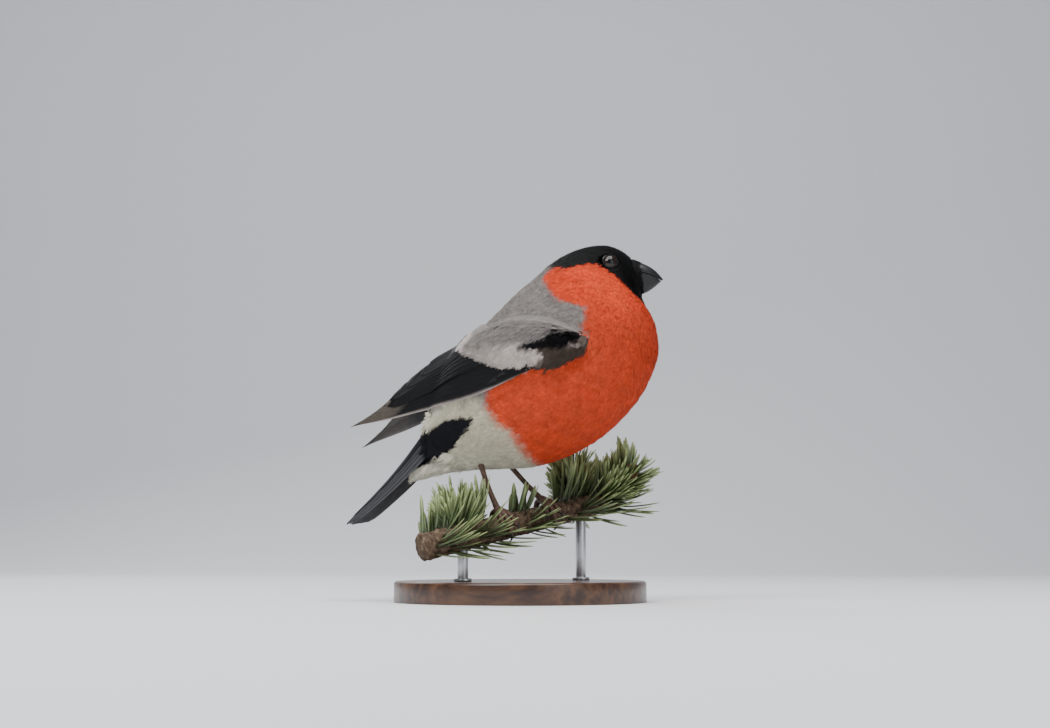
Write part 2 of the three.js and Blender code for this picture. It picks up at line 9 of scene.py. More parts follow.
import json
import logging
import math
from collections.abc import Callable, Sequence
from dataclasses import dataclass, field
from enum import Enum
from functools import partial

import bmesh
import bpy
import numpy as np
from mathutils import Matrix, Vector
from mathutils.kdtree import KDTree

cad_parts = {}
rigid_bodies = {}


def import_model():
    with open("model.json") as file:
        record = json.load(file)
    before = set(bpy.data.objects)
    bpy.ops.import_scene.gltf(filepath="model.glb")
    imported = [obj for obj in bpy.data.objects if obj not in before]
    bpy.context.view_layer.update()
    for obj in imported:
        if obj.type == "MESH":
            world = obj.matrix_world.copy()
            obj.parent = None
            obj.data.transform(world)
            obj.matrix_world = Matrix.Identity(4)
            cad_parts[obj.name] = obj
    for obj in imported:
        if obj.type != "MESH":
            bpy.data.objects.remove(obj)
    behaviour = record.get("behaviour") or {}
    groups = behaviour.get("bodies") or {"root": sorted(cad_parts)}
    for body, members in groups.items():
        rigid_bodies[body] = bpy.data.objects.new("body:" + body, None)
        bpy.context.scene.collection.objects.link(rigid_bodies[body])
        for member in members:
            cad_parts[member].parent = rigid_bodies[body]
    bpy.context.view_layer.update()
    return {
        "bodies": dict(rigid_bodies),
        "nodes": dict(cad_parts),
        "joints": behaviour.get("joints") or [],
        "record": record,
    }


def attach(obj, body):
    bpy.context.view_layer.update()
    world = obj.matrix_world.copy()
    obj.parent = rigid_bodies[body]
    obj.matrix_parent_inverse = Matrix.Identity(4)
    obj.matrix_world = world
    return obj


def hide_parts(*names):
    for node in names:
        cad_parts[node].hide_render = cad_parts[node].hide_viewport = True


log = logging.getLogger("bullfinch")

MM = 0.001
BODY = "root"
SEED = 7
MAX_TRIANGLES = 190_000

COAT_DEPTH = 0.8
SKIN_VOXEL = 0.75
BILL_VOXEL = 0.22
LEG_VOXEL = 0.2
HEAD_TURN = math.radians(12)
NECK_PIVOT = 20.0
NECK_START = 8.6
NECK_END = 10.6
HEAD_START = 8.8
HEAD_FULL = 12.0
EYE_CENTRE = (34.9, 10.3, 127.6)
EYE_RADIUS = 3.3
EYE_GAZE = (0.22, 0.95, 0.12)
FACE_CENTRE = (42.2, 0, 123.7)
FACE_SIZE = (3.6, 6.4, 7.6)

TAIL_ROOT = (-33.5, 72.6)
TAIL_SLOPE = math.radians(49)
TAIL_LENGTH = 56.0
TAIL_SAG = 1.8
TAIL_HALF = (7.5, 9.0)
TAIL_ARCH = (10.0, 3.6)

PERCH_CENTRE = (1.2, 0.0, 30.2)
PERCH_RADIUS = 5.0
PERCH_REACH = 46.0
PERCH_TURN = math.radians(50)
PERCH_RISE = math.radians(12)
FOOT_ALONG = 10.4
FOOT_GAP = 0.3

BASE_RADIUS = 48.0
BASE_HEIGHT = 8.0
ROD_RADIUS = 2.0
ROD_PLACES = (-28.0, 28.0)
COLLAR_RADIUS = 3.4
COLLAR_HEIGHT = 1.2

# The photograph's view: its turn round the bird, how far it looks up, and its scale.
VIEW_TURN = math.radians(15)
VIEW_LOWER = math.radians(5.8)
VIEW_AIM = (1.9, 0, 90.9)
VIEW_DISTANCE = 0.7
SENSOR = 36
FRAME_WIDTH = 1050 * 0.385 * MM

# The floor curves up into the backdrop from this distance, with this radius, in metres.
CURVE_FROM = 0.75
CURVE_RADIUS = 0.5

# The dark head feathers have a stiffer finish: how dark they are, and how far along the unwrap they start.
CAP_DARK = 0.02
CAP_FROM = 0.56

# Rings of the trunk, neck and head from under the tail to the bill: the back's x and z, the belly's x and z,
# half the width, and how far the widest level lies towards the belly.
BODY_RINGS = (
    (-44, 51.5, -45.5, 45, 2.5, 0),
    (-43, 60, -38, 46.4, 7, 0),
    (-40, 69.5, -28, 48.6, 12, 0),
    (-35, 79, -18, 49.6, 16.5, 0.05),
    (-29, 88, -6, 50.2, 20.5, 0.1),
    (-22.5, 96.5, 7.4, 51.4, 23, 0.1),
    (-15.5, 104.6, 22, 56.4, 25, 0.1),
    (-7.9, 112, 35.4, 64.9, 26, 0.1),
    (-0.1, 119.2, 47.4, 78.2, 25.4, 0.12),
    (7.5, 125.3, 53.4, 92.6, 23.2, 0.15),
    (14.2, 130.8, 53, 103.8, 19.6, 0.2),
    (21, 134.4, 50.8, 109.8, 16.2, 0.22),
    (28.2, 136.3, 49, 112.8, 14, 0.18),
    (35, 136.2, 48.6, 114.8, 12.2, 0.12),
    (41, 133.6, 48, 116, 9.4, 0.05),
    (44.6, 130.4, 46.8, 117.4, 6, 0),
)
LAST_RING = len(BODY_RINGS) - 1

# The folded right wing's lower and upper edge from the wrist to the tip.
WING_LOWER = (
    (33.6, -22.8, 96),
    (24, -26.4, 88.6),
    (10.7, -27, 85.2),
    (-5.3, -24.5, 78.8),
    (-20, -19, 74.4),
    (-34.5, -12.5, 72.4),
    (-50.3, -8.5, 69.6),
    (-66.8, -6.4, 66.8),
)
WING_UPPER = (
    (33, -22.6, 98.4),
    (20, -22, 105.5),
    (6, -18, 108),
    (-8, -12, 105.5),
    (-20, -6.5, 98.2),
    (-35.8, -5, 87.4),
    (-50.3, -5.6, 76),
    (-66.8, -6, 67.6),
)
WING_TIP = -66.8
WING_BULGE = 1.5
WING_CLEAR = 0.9
FAR_WING_DROOP = 7.5
DROOP_FROM = -38.0

# Lines on the folded wing: share along it, and share up from its lower edge. The grey of the shoulder ends
# at the first. The soft feathers, with the pale bar, end at the second. The third is the black patch's lower
# edge.
SHOULDER_LINE = (
    (0, 0.85),
    (0.03, 0.78),
    (0.1, 0.56),
    (0.18, 0.43),
    (0.24, 0.36),
    (0.33, 0.42),
    (0.41, 0.53),
    (0.56, 1),
)
SOFT_LINE = (
    (0.17, -0.2),
    (0.2, 0.05),
    (0.24, 0.08),
    (0.28, 0.11),
    (0.35, 0.25),
    (0.41, 0.4),
    (0.48, 0.56),
    (0.52, 0.72),
    (0.56, 1),
)
PATCH_LINE = ((0, 0.5), (0.06, 0.3), (0.12, 0.2), (0.17, 0.26), (0.25, 0.26))

# Edges of the plumage's colours in side view, x and z, with the head straight ahead.
CAP_LINE = (
    (8, 132.5),
    (12, 127.6),
    (15.5, 125.6),
    (20, 125.1),
    (24.3, 126.4),
    (29.1, 126.6),
    (33, 125),
    (36.6, 122.2),
    (39.7, 118.6),
    (42.9, 115.8),
    (47, 112.6),
    (52, 112),
)
TAIL_COVERT_LOW = ((-46, 49), (-33, 53), (-27, 55.4), (-21, 59.2), (-16, 64), (-12.5, 67.8))
TAIL_COVERT_HIGH = (
    (-46, 60),
    (-38, 62),
    (-33, 64.6),
    (-29.9, 66.2),
    (-24.7, 68.4),
    (-18.8, 69.2),
    (-12.5, 68.6),
)
# The front edges of the grey back and of the pale vent, as x over rising z.
GREY_LINE = (
    (78.7, -7),
    (84, 6),
    (88.5, 20),
    (92, 30),
    (96, 31.6),
    (100.3, 29.8),
    (105.2, 31),
    (109, 30.6),
    (110.6, 24.9),
    (112.6, 19.6),
    (117.5, 15.1),
    (122.8, 11.5),
    (127, 11.5),
)
VENT_LINE = ((49, 9), (55.2, 5.5), (62.7, 2.4), (68.4, -5.2), (75.1, -9.5), (78.7, -13), (85, -20))

Array = np.ndarray
Socket = bpy.types.NodeSocket
Triple = tuple[float, float, float]


class Side(Enum):
    """The bird's sides, by the sign of y."""

    RIGHT = -1
    LEFT = 1

    @property
    def label(self) -> str:
        """The side's name in lower case."""
        return self.name.lower()


class Tone(Enum):
    """Named colours, as display red, green and blue from 0 to 255."""

    CAP = (8, 8, 9)
    RED = (194, 72, 44)
    # The lighter red of random patches, and of painted top light from the breast up to the cheek.
    RED_PALE = (222, 70, 38)
    GREY = (131, 125, 120)
    BAR = (182, 170, 163)
    WHITE = (214, 210, 192)
    # The vent's pale tone, darkened and dulled by painted shade where it lies under the belly.
    VENT = (186, 179, 156)
    BLACK = (10, 10, 12)
    TAIL_GLOSS = (22, 22, 26)
    TIP = (84, 77, 69)
    BROWN = (66, 57, 50)
    UNDER = (84, 84, 86)
    IRIS = (44, 24, 14)
    PUPIL = (4, 4, 4)
    LID = (24, 23, 23)
    BILL = (22, 22, 24)
    LEG = (92, 66, 52)
    CLAW = (40, 30, 26)
    NEEDLE = (84, 100, 60)
    NEEDLE_TIP = (168, 182, 122)
    NEEDLE_ROOT = (54, 60, 34)
    BUD = (126, 70, 46)

    @property
    def linear(self) -> Array:
        """The colour as linear light."""
        share = np.array(self.value) / 255
        return np.where(share < 0.04045, share / 12.92, ((share + 0.055) / 1.055) ** 2.4)


def smoothstep(low: float, high: float, value: Array | float) -> Array:
    """A smooth rise from 0 at low to 1 at high."""
    share = np.clip((value - low) / (high - low), 0, 1)
    return share * share * (3 - 2 * share)


def unit(vectors: Array) -> Array:
    """Vectors scaled to length one, one in each row."""
    return vectors / np.maximum(np.linalg.norm(vectors, axis=-1, keepdims=True), 1e-9)


def catmull(points: Array, at: Array) -> Array:
    """Points on an even Catmull-Rom curve.

    Args:
        points: The curve's control points.
        at: Places along it, from 0 to the number of points less one.

    Returns:
        One point for each place.
    """
    count = len(points)
    at = np.clip(at, 0, count - 1)
    start = np.minimum(at.astype(int), count - 2)
    share = (at - start)[:, None]
    before, here = points[np.maximum(start - 1, 0)], points[start]
    there, after = points[start + 1], points[np.minimum(start + 2, count - 1)]
    out, into = (there - before) / 2, (after - here) / 2
    cubic = (2 * here - 2 * there + out + into) * share**3
    square = (-3 * here + 3 * there - 2 * out - into) * share**2
    return cubic + square + out * share + here


def along_line(line: Sequence[tuple[float, float]], at: Array) -> Array:
    """The second number of a line's points, looked up by the first."""
    return np.interp(at, *zip(*line))


def smooth_noise(points: Array, scale: float, seed: int) -> Array:
    """A soft pattern of values from about -1 to 1, made of a few crossing waves.

    Args:
        points: Places in millimetres.
        scale: The pattern's grain in millimetres.
        seed: Picks the waves.

    Returns:
        One value for each place.
    """
    rng = np.random.default_rng(seed)
    total = np.zeros(len(points))
    for _ in range(6):
        way = unit(rng.normal(size=3)) * rng.uniform(0.7, 1.6) * 2 * math.pi / scale
        total += np.sin(points @ way + rng.uniform(0, 2 * math.pi))
    return total / 3


def blend(first: Array, second: Array, share: Array) -> Array:
    """Colours from the first where the share is 0 to the second where it is 1, one for each share."""
    return first + (second - first) * np.asarray(share)[:, None]


@dataclass
class MeshData:
    """A mesh as arrays in millimetres, with a colour at each corner and optional unwraps."""

    corners: Array
    faces: list[Array]
    colours: Array | None = None
    unwraps: dict[str, Array] = field(default_factory=dict)

    def mesh(self, name: str) -> bpy.types.Mesh:
        """Makes the Blender mesh.

        Args:
            name: Its name.

        Returns:
            The mesh.
        """
        loops = np.concatenate([f.ravel() for f in self.faces])
        totals = np.concatenate([np.full(len(f), f.shape[1]) for f in self.faces])
        mesh = bpy.data.meshes.new(name)
        mesh.vertices.add(len(self.corners))
        mesh.vertices.foreach_set("co", (self.corners * MM).astype(np.float32).ravel())
        mesh.loops.add(len(loops))
        mesh.loops.foreach_set("vertex_index", loops.astype(np.int32))
        mesh.polygons.add(len(totals))
        starts = np.r_[0, np.cumsum(totals)[:-1]]
        mesh.polygons.foreach_set("loop_start", starts.astype(np.int32))
        mesh.update(calc_edges=True)
        mesh.validate()
        if self.colours is not None:
            paint(mesh, self.colours)
        for title, places in self.unwraps.items():
            layer = mesh.uv_layers.new(name=title)
            layer.uv.foreach_set("vector", places[loops].astype(np.float32).ravel())
        return mesh


def paint(mesh: bpy.types.Mesh, colours: Array) -> None:
    """Stores a colour at each vertex under the name Marking.

    Args:
        mesh: The mesh to paint.
        colours: Linear red, green and blue for each vertex.
    """
    layer = mesh.color_attributes.new("Marking", "FLOAT_COLOR", "POINT")
    full = np.ones((len(colours), 4), np.float32)
    full[:, :3] = np.clip(colours, 0, 1)
    layer.data.foreach_set("color", full.ravel())
    mesh.color_attributes.active_color = layer


def rows_of(elements: bpy.types.bpy_prop_collection, name: str) -> Array:
    """Reads one property of a mesh's elements.

    Args:
        elements: The elements.
        name: The property, of three numbers each.

    Returns:
        One row for each element.
    """
    flat = np.empty(len(elements) * 3, np.float32)
    elements.foreach_get(name, flat)
    return flat.reshape(-1, 3).astype(float)


def vertices_of(mesh: bpy.types.Mesh) -> Array:
    """A mesh's vertices in millimetres, one in each row."""
    return rows_of(mesh.vertices, "co") / MM


def normals_of(mesh: bpy.types.Mesh) -> Array:
    """The outward direction at each of a mesh's vertices."""
    return rows_of(mesh.vertex_normals, "vector")


def place_vertices(mesh: bpy.types.Mesh, points: Array) -> None:
    """Moves a mesh's vertices to new places in millimetres."""
    mesh.vertices.foreach_set("co", (points * MM).astype(np.float32).ravel())
    mesh.update()


def linked(name: str, data: bpy.types.ID) -> bpy.types.Object:
    """Puts a mesh, a light or a camera in the scene.

    Args:
        name: The object's name.
        data: What it holds.

    Returns:
        The object.
    """
    made = bpy.data.objects.new(name, data)
    bpy.context.scene.collection.objects.link(made)
    return made


def piece_of(work: bmesh.types.BMesh, name: str) -> bpy.types.Object:
    """Turns a bmesh, which is used up, into an object in the scene.

    Args:
        work: The bmesh.
        name: The object's name.

    Returns:
        The object.
    """
    mesh = bpy.data.meshes.new(name)
    work.to_mesh(mesh)
    work.free()
    return linked(name, mesh)


def show(
    piece: bpy.types.Object, finish: bpy.types.Material, slot: str, *stands_for: str
) -> bpy.types.Object:
    """Gives a piece its finish and smooth shading, and lets it ride on the model.

    Args:
        piece: The object.
        finish: Its material.
        slot: The record's material slot; it is not used.
        stands_for: Solids that the piece takes the place of.

    Returns:
        The same object.
    """
    piece.data.materials.clear()
    piece.data.materials.append(finish)
    piece.data.shade_smooth()
    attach(piece, BODY)
    if stands_for:
        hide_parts(*stands_for)
    return piece


class Body:
    """The trunk, neck and head as a run of rings round a bent middle line."""

    def __init__(self) -> None:
        """Works out fine rings between the given ones."""
        self.stations = np.linspace(0, LAST_RING, 601)
        self.rings = catmull(np.array(BODY_RINGS, float), self.stations)

    def ring(self, station: Array) -> tuple[Array, Array, Array, Array]:
        """The rings at the given stations.

        Args:
            station: Places along the body, from 0 under the tail to 15 at the bill.

        Returns:
            Middles and half depths as x and z, half widths, and how far each ring sags.
        """
        parts = [np.interp(station, self.stations, self.rings[:, k]) for k in range(6)]
        r = np.stack(parts, -1)
        middle = (r[..., 0:2] + r[..., 2:4]) / 2
        up = (r[..., 0:2] - r[..., 2:4]) / 2
        return middle, up, r[..., 4], r[..., 5]

    def turned(self, points: Array, station: Array, back: bool = False) -> Array:
        """Points turned with the head, or turned back.

        Args:
            points: Places in millimetres.
            station: The station of each.
            back: True to undo the turn.

        Returns:
            The moved points.
        """
        angle = HEAD_TURN * smoothstep(NECK_START, NECK_END, station) * (-1 if back else 1)
        x, y = points[:, 0] - NECK_PIVOT, points[:, 1]
        moved = points.copy()
        moved[:, 0] = x * np.cos(angle) - y * np.sin(angle) + NECK_PIVOT
        moved[:, 1] = x * np.sin(angle) + y * np.cos(angle)
        return moved

    def locate(self, points: Array, highest: float = LAST_RING) -> tuple[Array, Array, Array]:
        """Where points of the straight body lie on its rings.

        Args:
            points: Places in millimetres.
            highest: The last station to look at.

        Returns:
            Stations, turns in radians from the back over the right side, and shares of the ring's reach.
        """
        station = np.linspace(0, highest, 241)
        middle, up, half, low = self.ring(station)
        depth = np.hypot(up[:, 0], up[:, 1])
        found = np.zeros((3, len(points)))
        for start in range(0, len(points), 4000):
            p = points[start : start + 4000]
            dx = p[:, None, 0] - middle[None, :, 0]
            dz = p[:, None, 2] - middle[None, :, 1]
            ahead = (dx * up[:, 1] - dz * up[:, 0]) / depth
            rise = (dx * up[:, 0] + dz * up[:, 1]) / depth**2
            wide = half * (1 - low * np.clip(rise, -1, 1))
            ratio = np.hypot(rise, p[:, None, 1] / wide)
            best = (np.abs(ahead) + 8 * np.abs(ratio - 1)).argmin(1)
            row = np.arange(len(p))
            lower, upper = np.clip(best - 1, 0, 240), np.clip(best + 1, 0, 240)
            gap = ahead[row, lower] - ahead[row, upper]
            share = np.clip(ahead[row, lower] / np.where(np.abs(gap) < 1e-9, 1, gap), 0, 1)
            found[0, start : start + len(p)] = station[lower] + share * (station[upper] - station[lower])
            found[1, start : start + len(p)] = np.arctan2(-p[:, 1] / wide[row, best], rise[row, best])
            found[2, start : start + len(p)] = ratio[row, best]
        return found[0], found[1], found[2]

    def straighten(self, points: Array) -> tuple[Array, Array, Array]:
        """Finds points on the body with the head's turn undone.

        Args:
            points: Places in millimetres.

        Returns:
            Stations, turns round the ring, and the points with the head straight ahead.
        """
        station, turn, _ = self.locate(points)
        for _ in range(2):
            straight = self.turned(points, station, back=True)
            station, turn, _ = self.locate(straight)
        return station, turn, self.turned(points, station, back=True)

    def lie(self, station: Array, normals: Array) -> Array:
        """The way that feathers lie: from the bill back over the body to the tail.

        Args:
            station: The station of each root.
            normals: The outward direction at each.

        Returns:
            Directions along the surface.
        """
        ahead, _, _, _ = self.ring(np.minimum(station + 0.25, LAST_RING))
        behind, _, _, _ = self.ring(np.maximum(station - 0.25, 0))
        way = np.zeros((len(station), 3))
        way[:, [0, 2]] = behind - ahead
        way = unit(way)
        angle = HEAD_TURN * smoothstep(NECK_START, NECK_END, station)
        x = way[:, 0].copy()
        way[:, 0], way[:, 1] = x * np.cos(angle), x * np.sin(angle)
        along = way - normals * (way * normals).sum(1, keepdims=True)
        fall = np.array([0, 0, -1.0])
        down = fall - normals * (normals @ fall)[:, None]
        weak = smoothstep(0.35, 0.1, np.linalg.norm(along, axis=1))
        return unit(along + down * weak[:, None])

    def clear(self, points: Array, lift: float) -> Array:
        """Moves points straight out of their rings until they are at least lift outside the trunk.

        Args:
            points: Places in millimetres.
            lift: The least distance outside.

        Returns:
            The points, moved where they were too close.
        """
        station, _, ratio = self.locate(points, NECK_START + 1)
        middle, _, _, _ = self.ring(station)
        centre = np.stack([middle[:, 0], np.zeros(len(station)), middle[:, 1]], -1)
        out = points - centre
        size = np.linalg.norm(out, axis=1)
        surface = size / np.maximum(ratio, 1e-3)
        least = surface + lift
        close = (size < least) & (station > 0.3) & (ratio > 0.02)
        factor = np.where(close, least / np.maximum(size, 1e-6), 1)
        return centre + out * factor[:, None]


@dataclass(frozen=True)
class Markings:
    """The plumage's colours as plain regions with ragged edges."""

    body: Body

    def colours(self, points: Array) -> Array:
        """The plumage's colour at places on the body.

        Args:
            points: Places in millimetres.

        Returns:
            Linear colours.
        """
        station, turn, p = self.body.straighten(points)
        x, z = p[:, 0], p[:, 2]
        wander = 0.5 * smooth_noise(points, 2.3, 3) + 0.3 * smooth_noise(points, 0.9, 4)
        aside = np.abs(turn)
        # The red runs lighter from the breast up to the cheek as painted top light, over random patches of
        # lighter red.
        patches_and_top_light = 0.25 + 0.2 * smooth_noise(points, 6, 5) + 0.45 * smoothstep(98, 116, z)
        red = blend(Tone.RED.linear, Tone.RED_PALE.linear, np.clip(patches_and_top_light, 0, 1))
        grey = Tone.GREY.linear * (1 + 0.06 * smooth_noise(points, 5, 6))[:, None]
        low_back = smoothstep(0.42, 0.62, aside + 0.04 * wander)
        is_red = smoothstep(-1.5, 1.5, x - along_line(GREY_LINE, z) + wander)
        is_red = np.where(z > 106, is_red * low_back, is_red)
        is_red = np.where((station > NECK_END) & (aside > 0.5), 1, is_red)
        shade = blend(grey, red, is_red)
        # Painted shade: the vent's pale tone runs from the clean tone low by the tail to the darker, duller
        # tone higher up under the belly.
        white_and_shade = blend(Tone.VENT.linear, Tone.WHITE.linear, smoothstep(60, 48, z))
        below = np.maximum(smoothstep(1.2, 1.5, aside), smoothstep(-12, -20, x))
        is_vent = smoothstep(3.2, -3.2, x - along_line(VENT_LINE, z) + 2 * wander) * below
        is_vent = np.where(station < 6.3, is_vent, 0)
        shade = blend(shade, white_and_shade, is_vent)
        is_rump = smoothstep(-19, -24, x + wander) * smoothstep(1.3, 1.0, aside)
        shade = blend(shade, Tone.WHITE.linear, is_rump)
        low, high = (z - along_line(line, x) + 0.5 * wander for line in (TAIL_COVERT_LOW, TAIL_COVERT_HIGH))
        covert = smoothstep(-0.5, 0.5, low) * smoothstep(0.5, -0.5, high)
        covert = covert * (x < -12.5) * smoothstep(0.75, 1.0, aside)
        shade = blend(shade, Tone.TAIL_GLOSS.linear, covert)
        cap = smoothstep(-0.45, 0.45, z - along_line(CAP_LINE, x) + 0.7 * wander)
        cap = cap * smoothstep(8, 9.5, x + wander)
        cap = np.where(station > HEAD_START, cap, 0)
        return blend(shade, Tone.CAP.linear, cap)


class Nodes:
    """A new material's nodes, with the joins that the finishes share.

    Sizes of patterns are repeats per metre on each axis.
    """

    def __init__(self, name: str) -> None:
        """Makes the material.

        Args:
            name: Its name.
        """
        self.material = bpy.data.materials.new(name)
        self.material.use_nodes = True
        self.tree = self.material.node_tree
        self.shader = self.tree.nodes["Principled BSDF"]

    def feed(self, socket: Socket, value: object) -> None:
        """Sets an input to a value, or links it to another node's output.

        Args:
            socket: The input.
            value: The value or the output.
        """
        if isinstance(value, Socket):
            self.tree.links.new(value, socket)
        else:
            socket.default_value = value

    def add(self, kind: str, operation: str = "", **values: object) -> bpy.types.Node:
        """Adds a node and sets its inputs by name.

        Args:
            kind: The node's type, without its first part.
            operation: What it works out, where it has a choice.
            values: Input names, with spaces written as underscores, and their values or source sockets.

        Returns:
            The node.
        """
        made = self.tree.nodes.new(f"ShaderNode{kind}")
        if operation:
            made.operation = operation
        for title, value in values.items():
            self.feed(made.inputs[title.replace("_", " ")], value)
        return made

    def worked(self, operation: str, *values: object) -> Socket:
        """A sum worked out from values or sockets.

        Args:
            operation: The kind of sum.
            values: What goes in, in order.

        Returns:
            The result.
        """
        made = self.add("Math", operation)
        for socket, value in zip(made.inputs, values):
            self.feed(socket, value)
        return made.outputs["Value"]

    def marked(self) -> Socket:
        """The colour stored on the mesh.

        Returns:
            The colour.
        """
        source = self.add("Attribute")
        source.attribute_name = "Marking"
        return source.outputs["Color"]

    def scaled(self, size: Triple) -> Socket:
        """Object coordinates with each axis scaled."""
        place = self.add("TexCoord").outputs["Object"]
        return self.add("Mapping", Vector=place, Scale=size).outputs["Vector"]

    def noise(self, size: Triple, detail: float, scale: float = 1.0) -> bpy.types.Node:
        """A noise texture on scaled object coordinates."""
        return self.add("TexNoise", Vector=self.scaled(size), Scale=scale, Detail=detail)

    def ranged(self, value: Socket, span: tuple[float, float], to: tuple[float, float]) -> Socket:
        """A value carried from one span to another."""
        limits = {"From_Min": span[0], "From_Max": span[1], "To_Min": to[0], "To_Max": to[1]}
        return self.add("MapRange", Value=value, **limits).outputs["Result"]

    def lit(self, colour: Socket, factor: object) -> Socket:
        """A colour made lighter or darker by a factor."""
        return self.add("VectorMath", "SCALE", Vector=colour, Scale=factor).outputs["Vector"]

    def mottled(self, colour: Socket, size: Triple, depth: float) -> Socket:
        """A colour made lighter and darker by noise, by the share depth."""
        noise = self.noise(size, 4.0).outputs["Fac"]
        return self.lit(colour, self.ranged(noise, (0.3, 0.7), (1 - depth, 1 + depth)))

    def ramp(self, factor: Socket, *stops: tuple[float, Triple]) -> Socket:
        """A colour that runs through stops.

        Args:
            factor: Where on the run to look.
            stops: The place and the colour of each, in order.

        Returns:
            The colour.
        """
        made = self.add("ValToRGB", Fac=factor)
        elements = made.color_ramp.elements
        ends = [elements[0], elements[1]]
        for element, (place, colour) in zip(ends, (stops[0], stops[-1])):
            element.position, element.color = place, (*colour, 1)
        for place, colour in stops[1:-1]:
            elements.new(place).color = (*colour, 1)
        return made.outputs["Color"]

    def bump(self, height: Socket, depth: float) -> None:
        """Gives the shader small relief, of a height from 0 to 1 and a depth in millimetres."""
        made = self.add("Bump", Height=height, Strength=1.0, Distance=depth * MM)
        self.feed(self.shader.inputs["Normal"], made.outputs["Normal"])


@dataclass(frozen=True)
class Finish:
    """A surface's look. The plain one shows the stored colour, slightly mottled."""

    name: str
    roughness: float = 0.6
    specular: float = 0.5
    sheen: float = 0.0
    coat: float = 0.0
    metallic: float = 0.0

    def colour(self, nodes: Nodes) -> Socket:
        """Makes the surface's colour, and its relief where it has one."""
        return nodes.mottled(nodes.marked(), (900, 900, 900), 0.1)

    def build(self) -> bpy.types.Material:
        """Makes the material.

        Returns:
            The material.
        """
        nodes = Nodes(self.name)
        plain = {
            "Roughness": self.roughness,
            "Specular IOR Level": self.specular,
            "Sheen Weight": self.sheen,
            "Sheen Roughness": 0.5,
            "Coat Weight": self.coat,
            "Coat Roughness": 0.04,
            "Metallic": self.metallic,
        }
        for title, value in plain.items():
            nodes.shader.inputs[title].default_value = value
        nodes.feed(nodes.shader.inputs["Base Color"], self.colour(nodes))
        return nodes.material


@dataclass(frozen=True)
class PlumageFinish(Finish):
    """Soft body feathers: the stored colour with broad and fine streaks."""

    def colour(self, nodes: Nodes) -> Socket:
        """Makes the streaked colour."""
        broad = nodes.mottled(nodes.marked(), (260, 260, 260), 0.1)
        return nodes.mottled(broad, (2400, 2400, 1100), 0.16)


@dataclass(frozen=True)
class VaneFinish(Finish):
    """Stiff flight feathers: the stored colour, with fine barbs that slant from the shaft."""

    barbs: float = 90.0

    def colour(self, nodes: Nodes) -> Socket:
        """Makes the barbed colour and the barbs' relief.

        Args:
            nodes: The material's nodes.

        Returns:
            The colour.
        """
        place = nodes.add("UVMap")
        place.uv_map = "Vane"
        split = nodes.add("SeparateXYZ", Vector=place.outputs["UV"])
        across = nodes.worked("ABSOLUTE", split.outputs["X"])
        slant = nodes.worked("MULTIPLY_ADD", across, -0.09, split.outputs["Y"])
        ridge = nodes.worked("SINE", nodes.worked("MULTIPLY", slant, self.barbs * 2 * math.pi))
        nodes.bump(ridge, 0.03)
        tone = nodes.mottled(nodes.marked(), (500, 500, 500), 0.14)
        return nodes.lit(tone, nodes.ranged(ridge, (-1.0, 1.0), (0.82, 1.12)))


@dataclass(frozen=True)
class HornFinish(Finish):
    """Bill and claws: hard and faintly grained."""

    tone: Tone = Tone.CAP
    grain: Triple = (400, 400, 1600)

    def colour(self, nodes: Nodes) -> Socket:
        """Makes the grained colour and the grain's relief.

        Args:
            nodes: The material's nodes.

        Returns:
            The colour.
        """
        flat = nodes.add("RGB").outputs["Color"]
        flat.default_value = (*self.tone.linear, 1)
        nodes.bump(nodes.noise(self.grain, 3.0, 1.5).outputs["Fac"], 0.06)
        return nodes.mottled(flat, self.grain, 0.3)


@dataclass(frozen=True)
class ScaleFinish(Finish):
    """Bare legs and toes: small plates with dark joints."""

    def colour(self, nodes: Nodes) -> Socket:
        """Makes the plates' colour and relief.

        Args:
            nodes: The material's nodes.

        Returns:
            The colour.
        """
        cells = nodes.add("TexVoronoi", Vector=nodes.scaled((1500, 1500, 1100)), Scale=1.0)
        cells.feature = "DISTANCE_TO_EDGE"
        rim = nodes.ranged(cells.outputs["Distance"], (0.0, 0.16), (0.55, 1.08))
        nodes.bump(rim, 0.08)
        return nodes.lit(nodes.marked(), rim)


@dataclass(frozen=True)
class BarkFinish(Finish):
    """Flaking bark: grey-brown with dark cracks and lighter scales."""

    def colour(self, nodes: Nodes) -> Socket:
        """Makes the bark's colour and relief.

        Args:
            nodes: The material's nodes.

        Returns:
            The colour.
        """
        rough = nodes.noise((420, 420, 420), 8.0)
        rough.inputs["Roughness"].default_value = 0.7
        height = rough.outputs["Fac"]
        nodes.bump(height, 0.5)
        crack, plate, scale = (0.022, 0.014, 0.009), (0.10, 0.066, 0.042), (0.26, 0.19, 0.13)
        return nodes.lit(nodes.ramp(height, (0.32, crack), (0.52, plate), (0.72, scale)), 1.15)


@dataclass(frozen=True)
class WoodFinish(Finish):
    """Polished dark wood with rings that run across the base."""

    def colour(self, nodes: Nodes) -> Socket:
        """Makes the wood's colour and faint relief.

        Args:
            nodes: The material's nodes.

        Returns:
            The colour.
        """
        shift = nodes.add("VectorMath", "ADD", Vector=nodes.scaled((6, 130, 90)))
        nodes.feed(shift.inputs[1], nodes.noise((14, 40, 40), 4.0).outputs["Color"])
        grain = nodes.add("TexNoise", Vector=shift.outputs["Vector"], Scale=3.2, Detail=7.0).outputs["Fac"]
        nodes.bump(grain, 0.05)
        return nodes.ramp(grain, (0.35, (0.030, 0.011, 0.005)), (0.66, (0.115, 0.050, 0.021)))


@dataclass(frozen=True)
class SteelFinish(Finish):
    """Brushed steel rods."""

    def colour(self, nodes: Nodes) -> Socket:
        """Makes the brushed colour and its faint relief.

        Args:
            nodes: The material's nodes.

        Returns:
            The colour.
        """
        brush = nodes.noise((300, 300, 9000), 3.0).outputs["Fac"]
        nodes.bump(brush, 0.01)
        return nodes.ramp(brush, (0.0, (0.42, 0.42, 0.43)), (1.0, (0.68, 0.68, 0.69)))


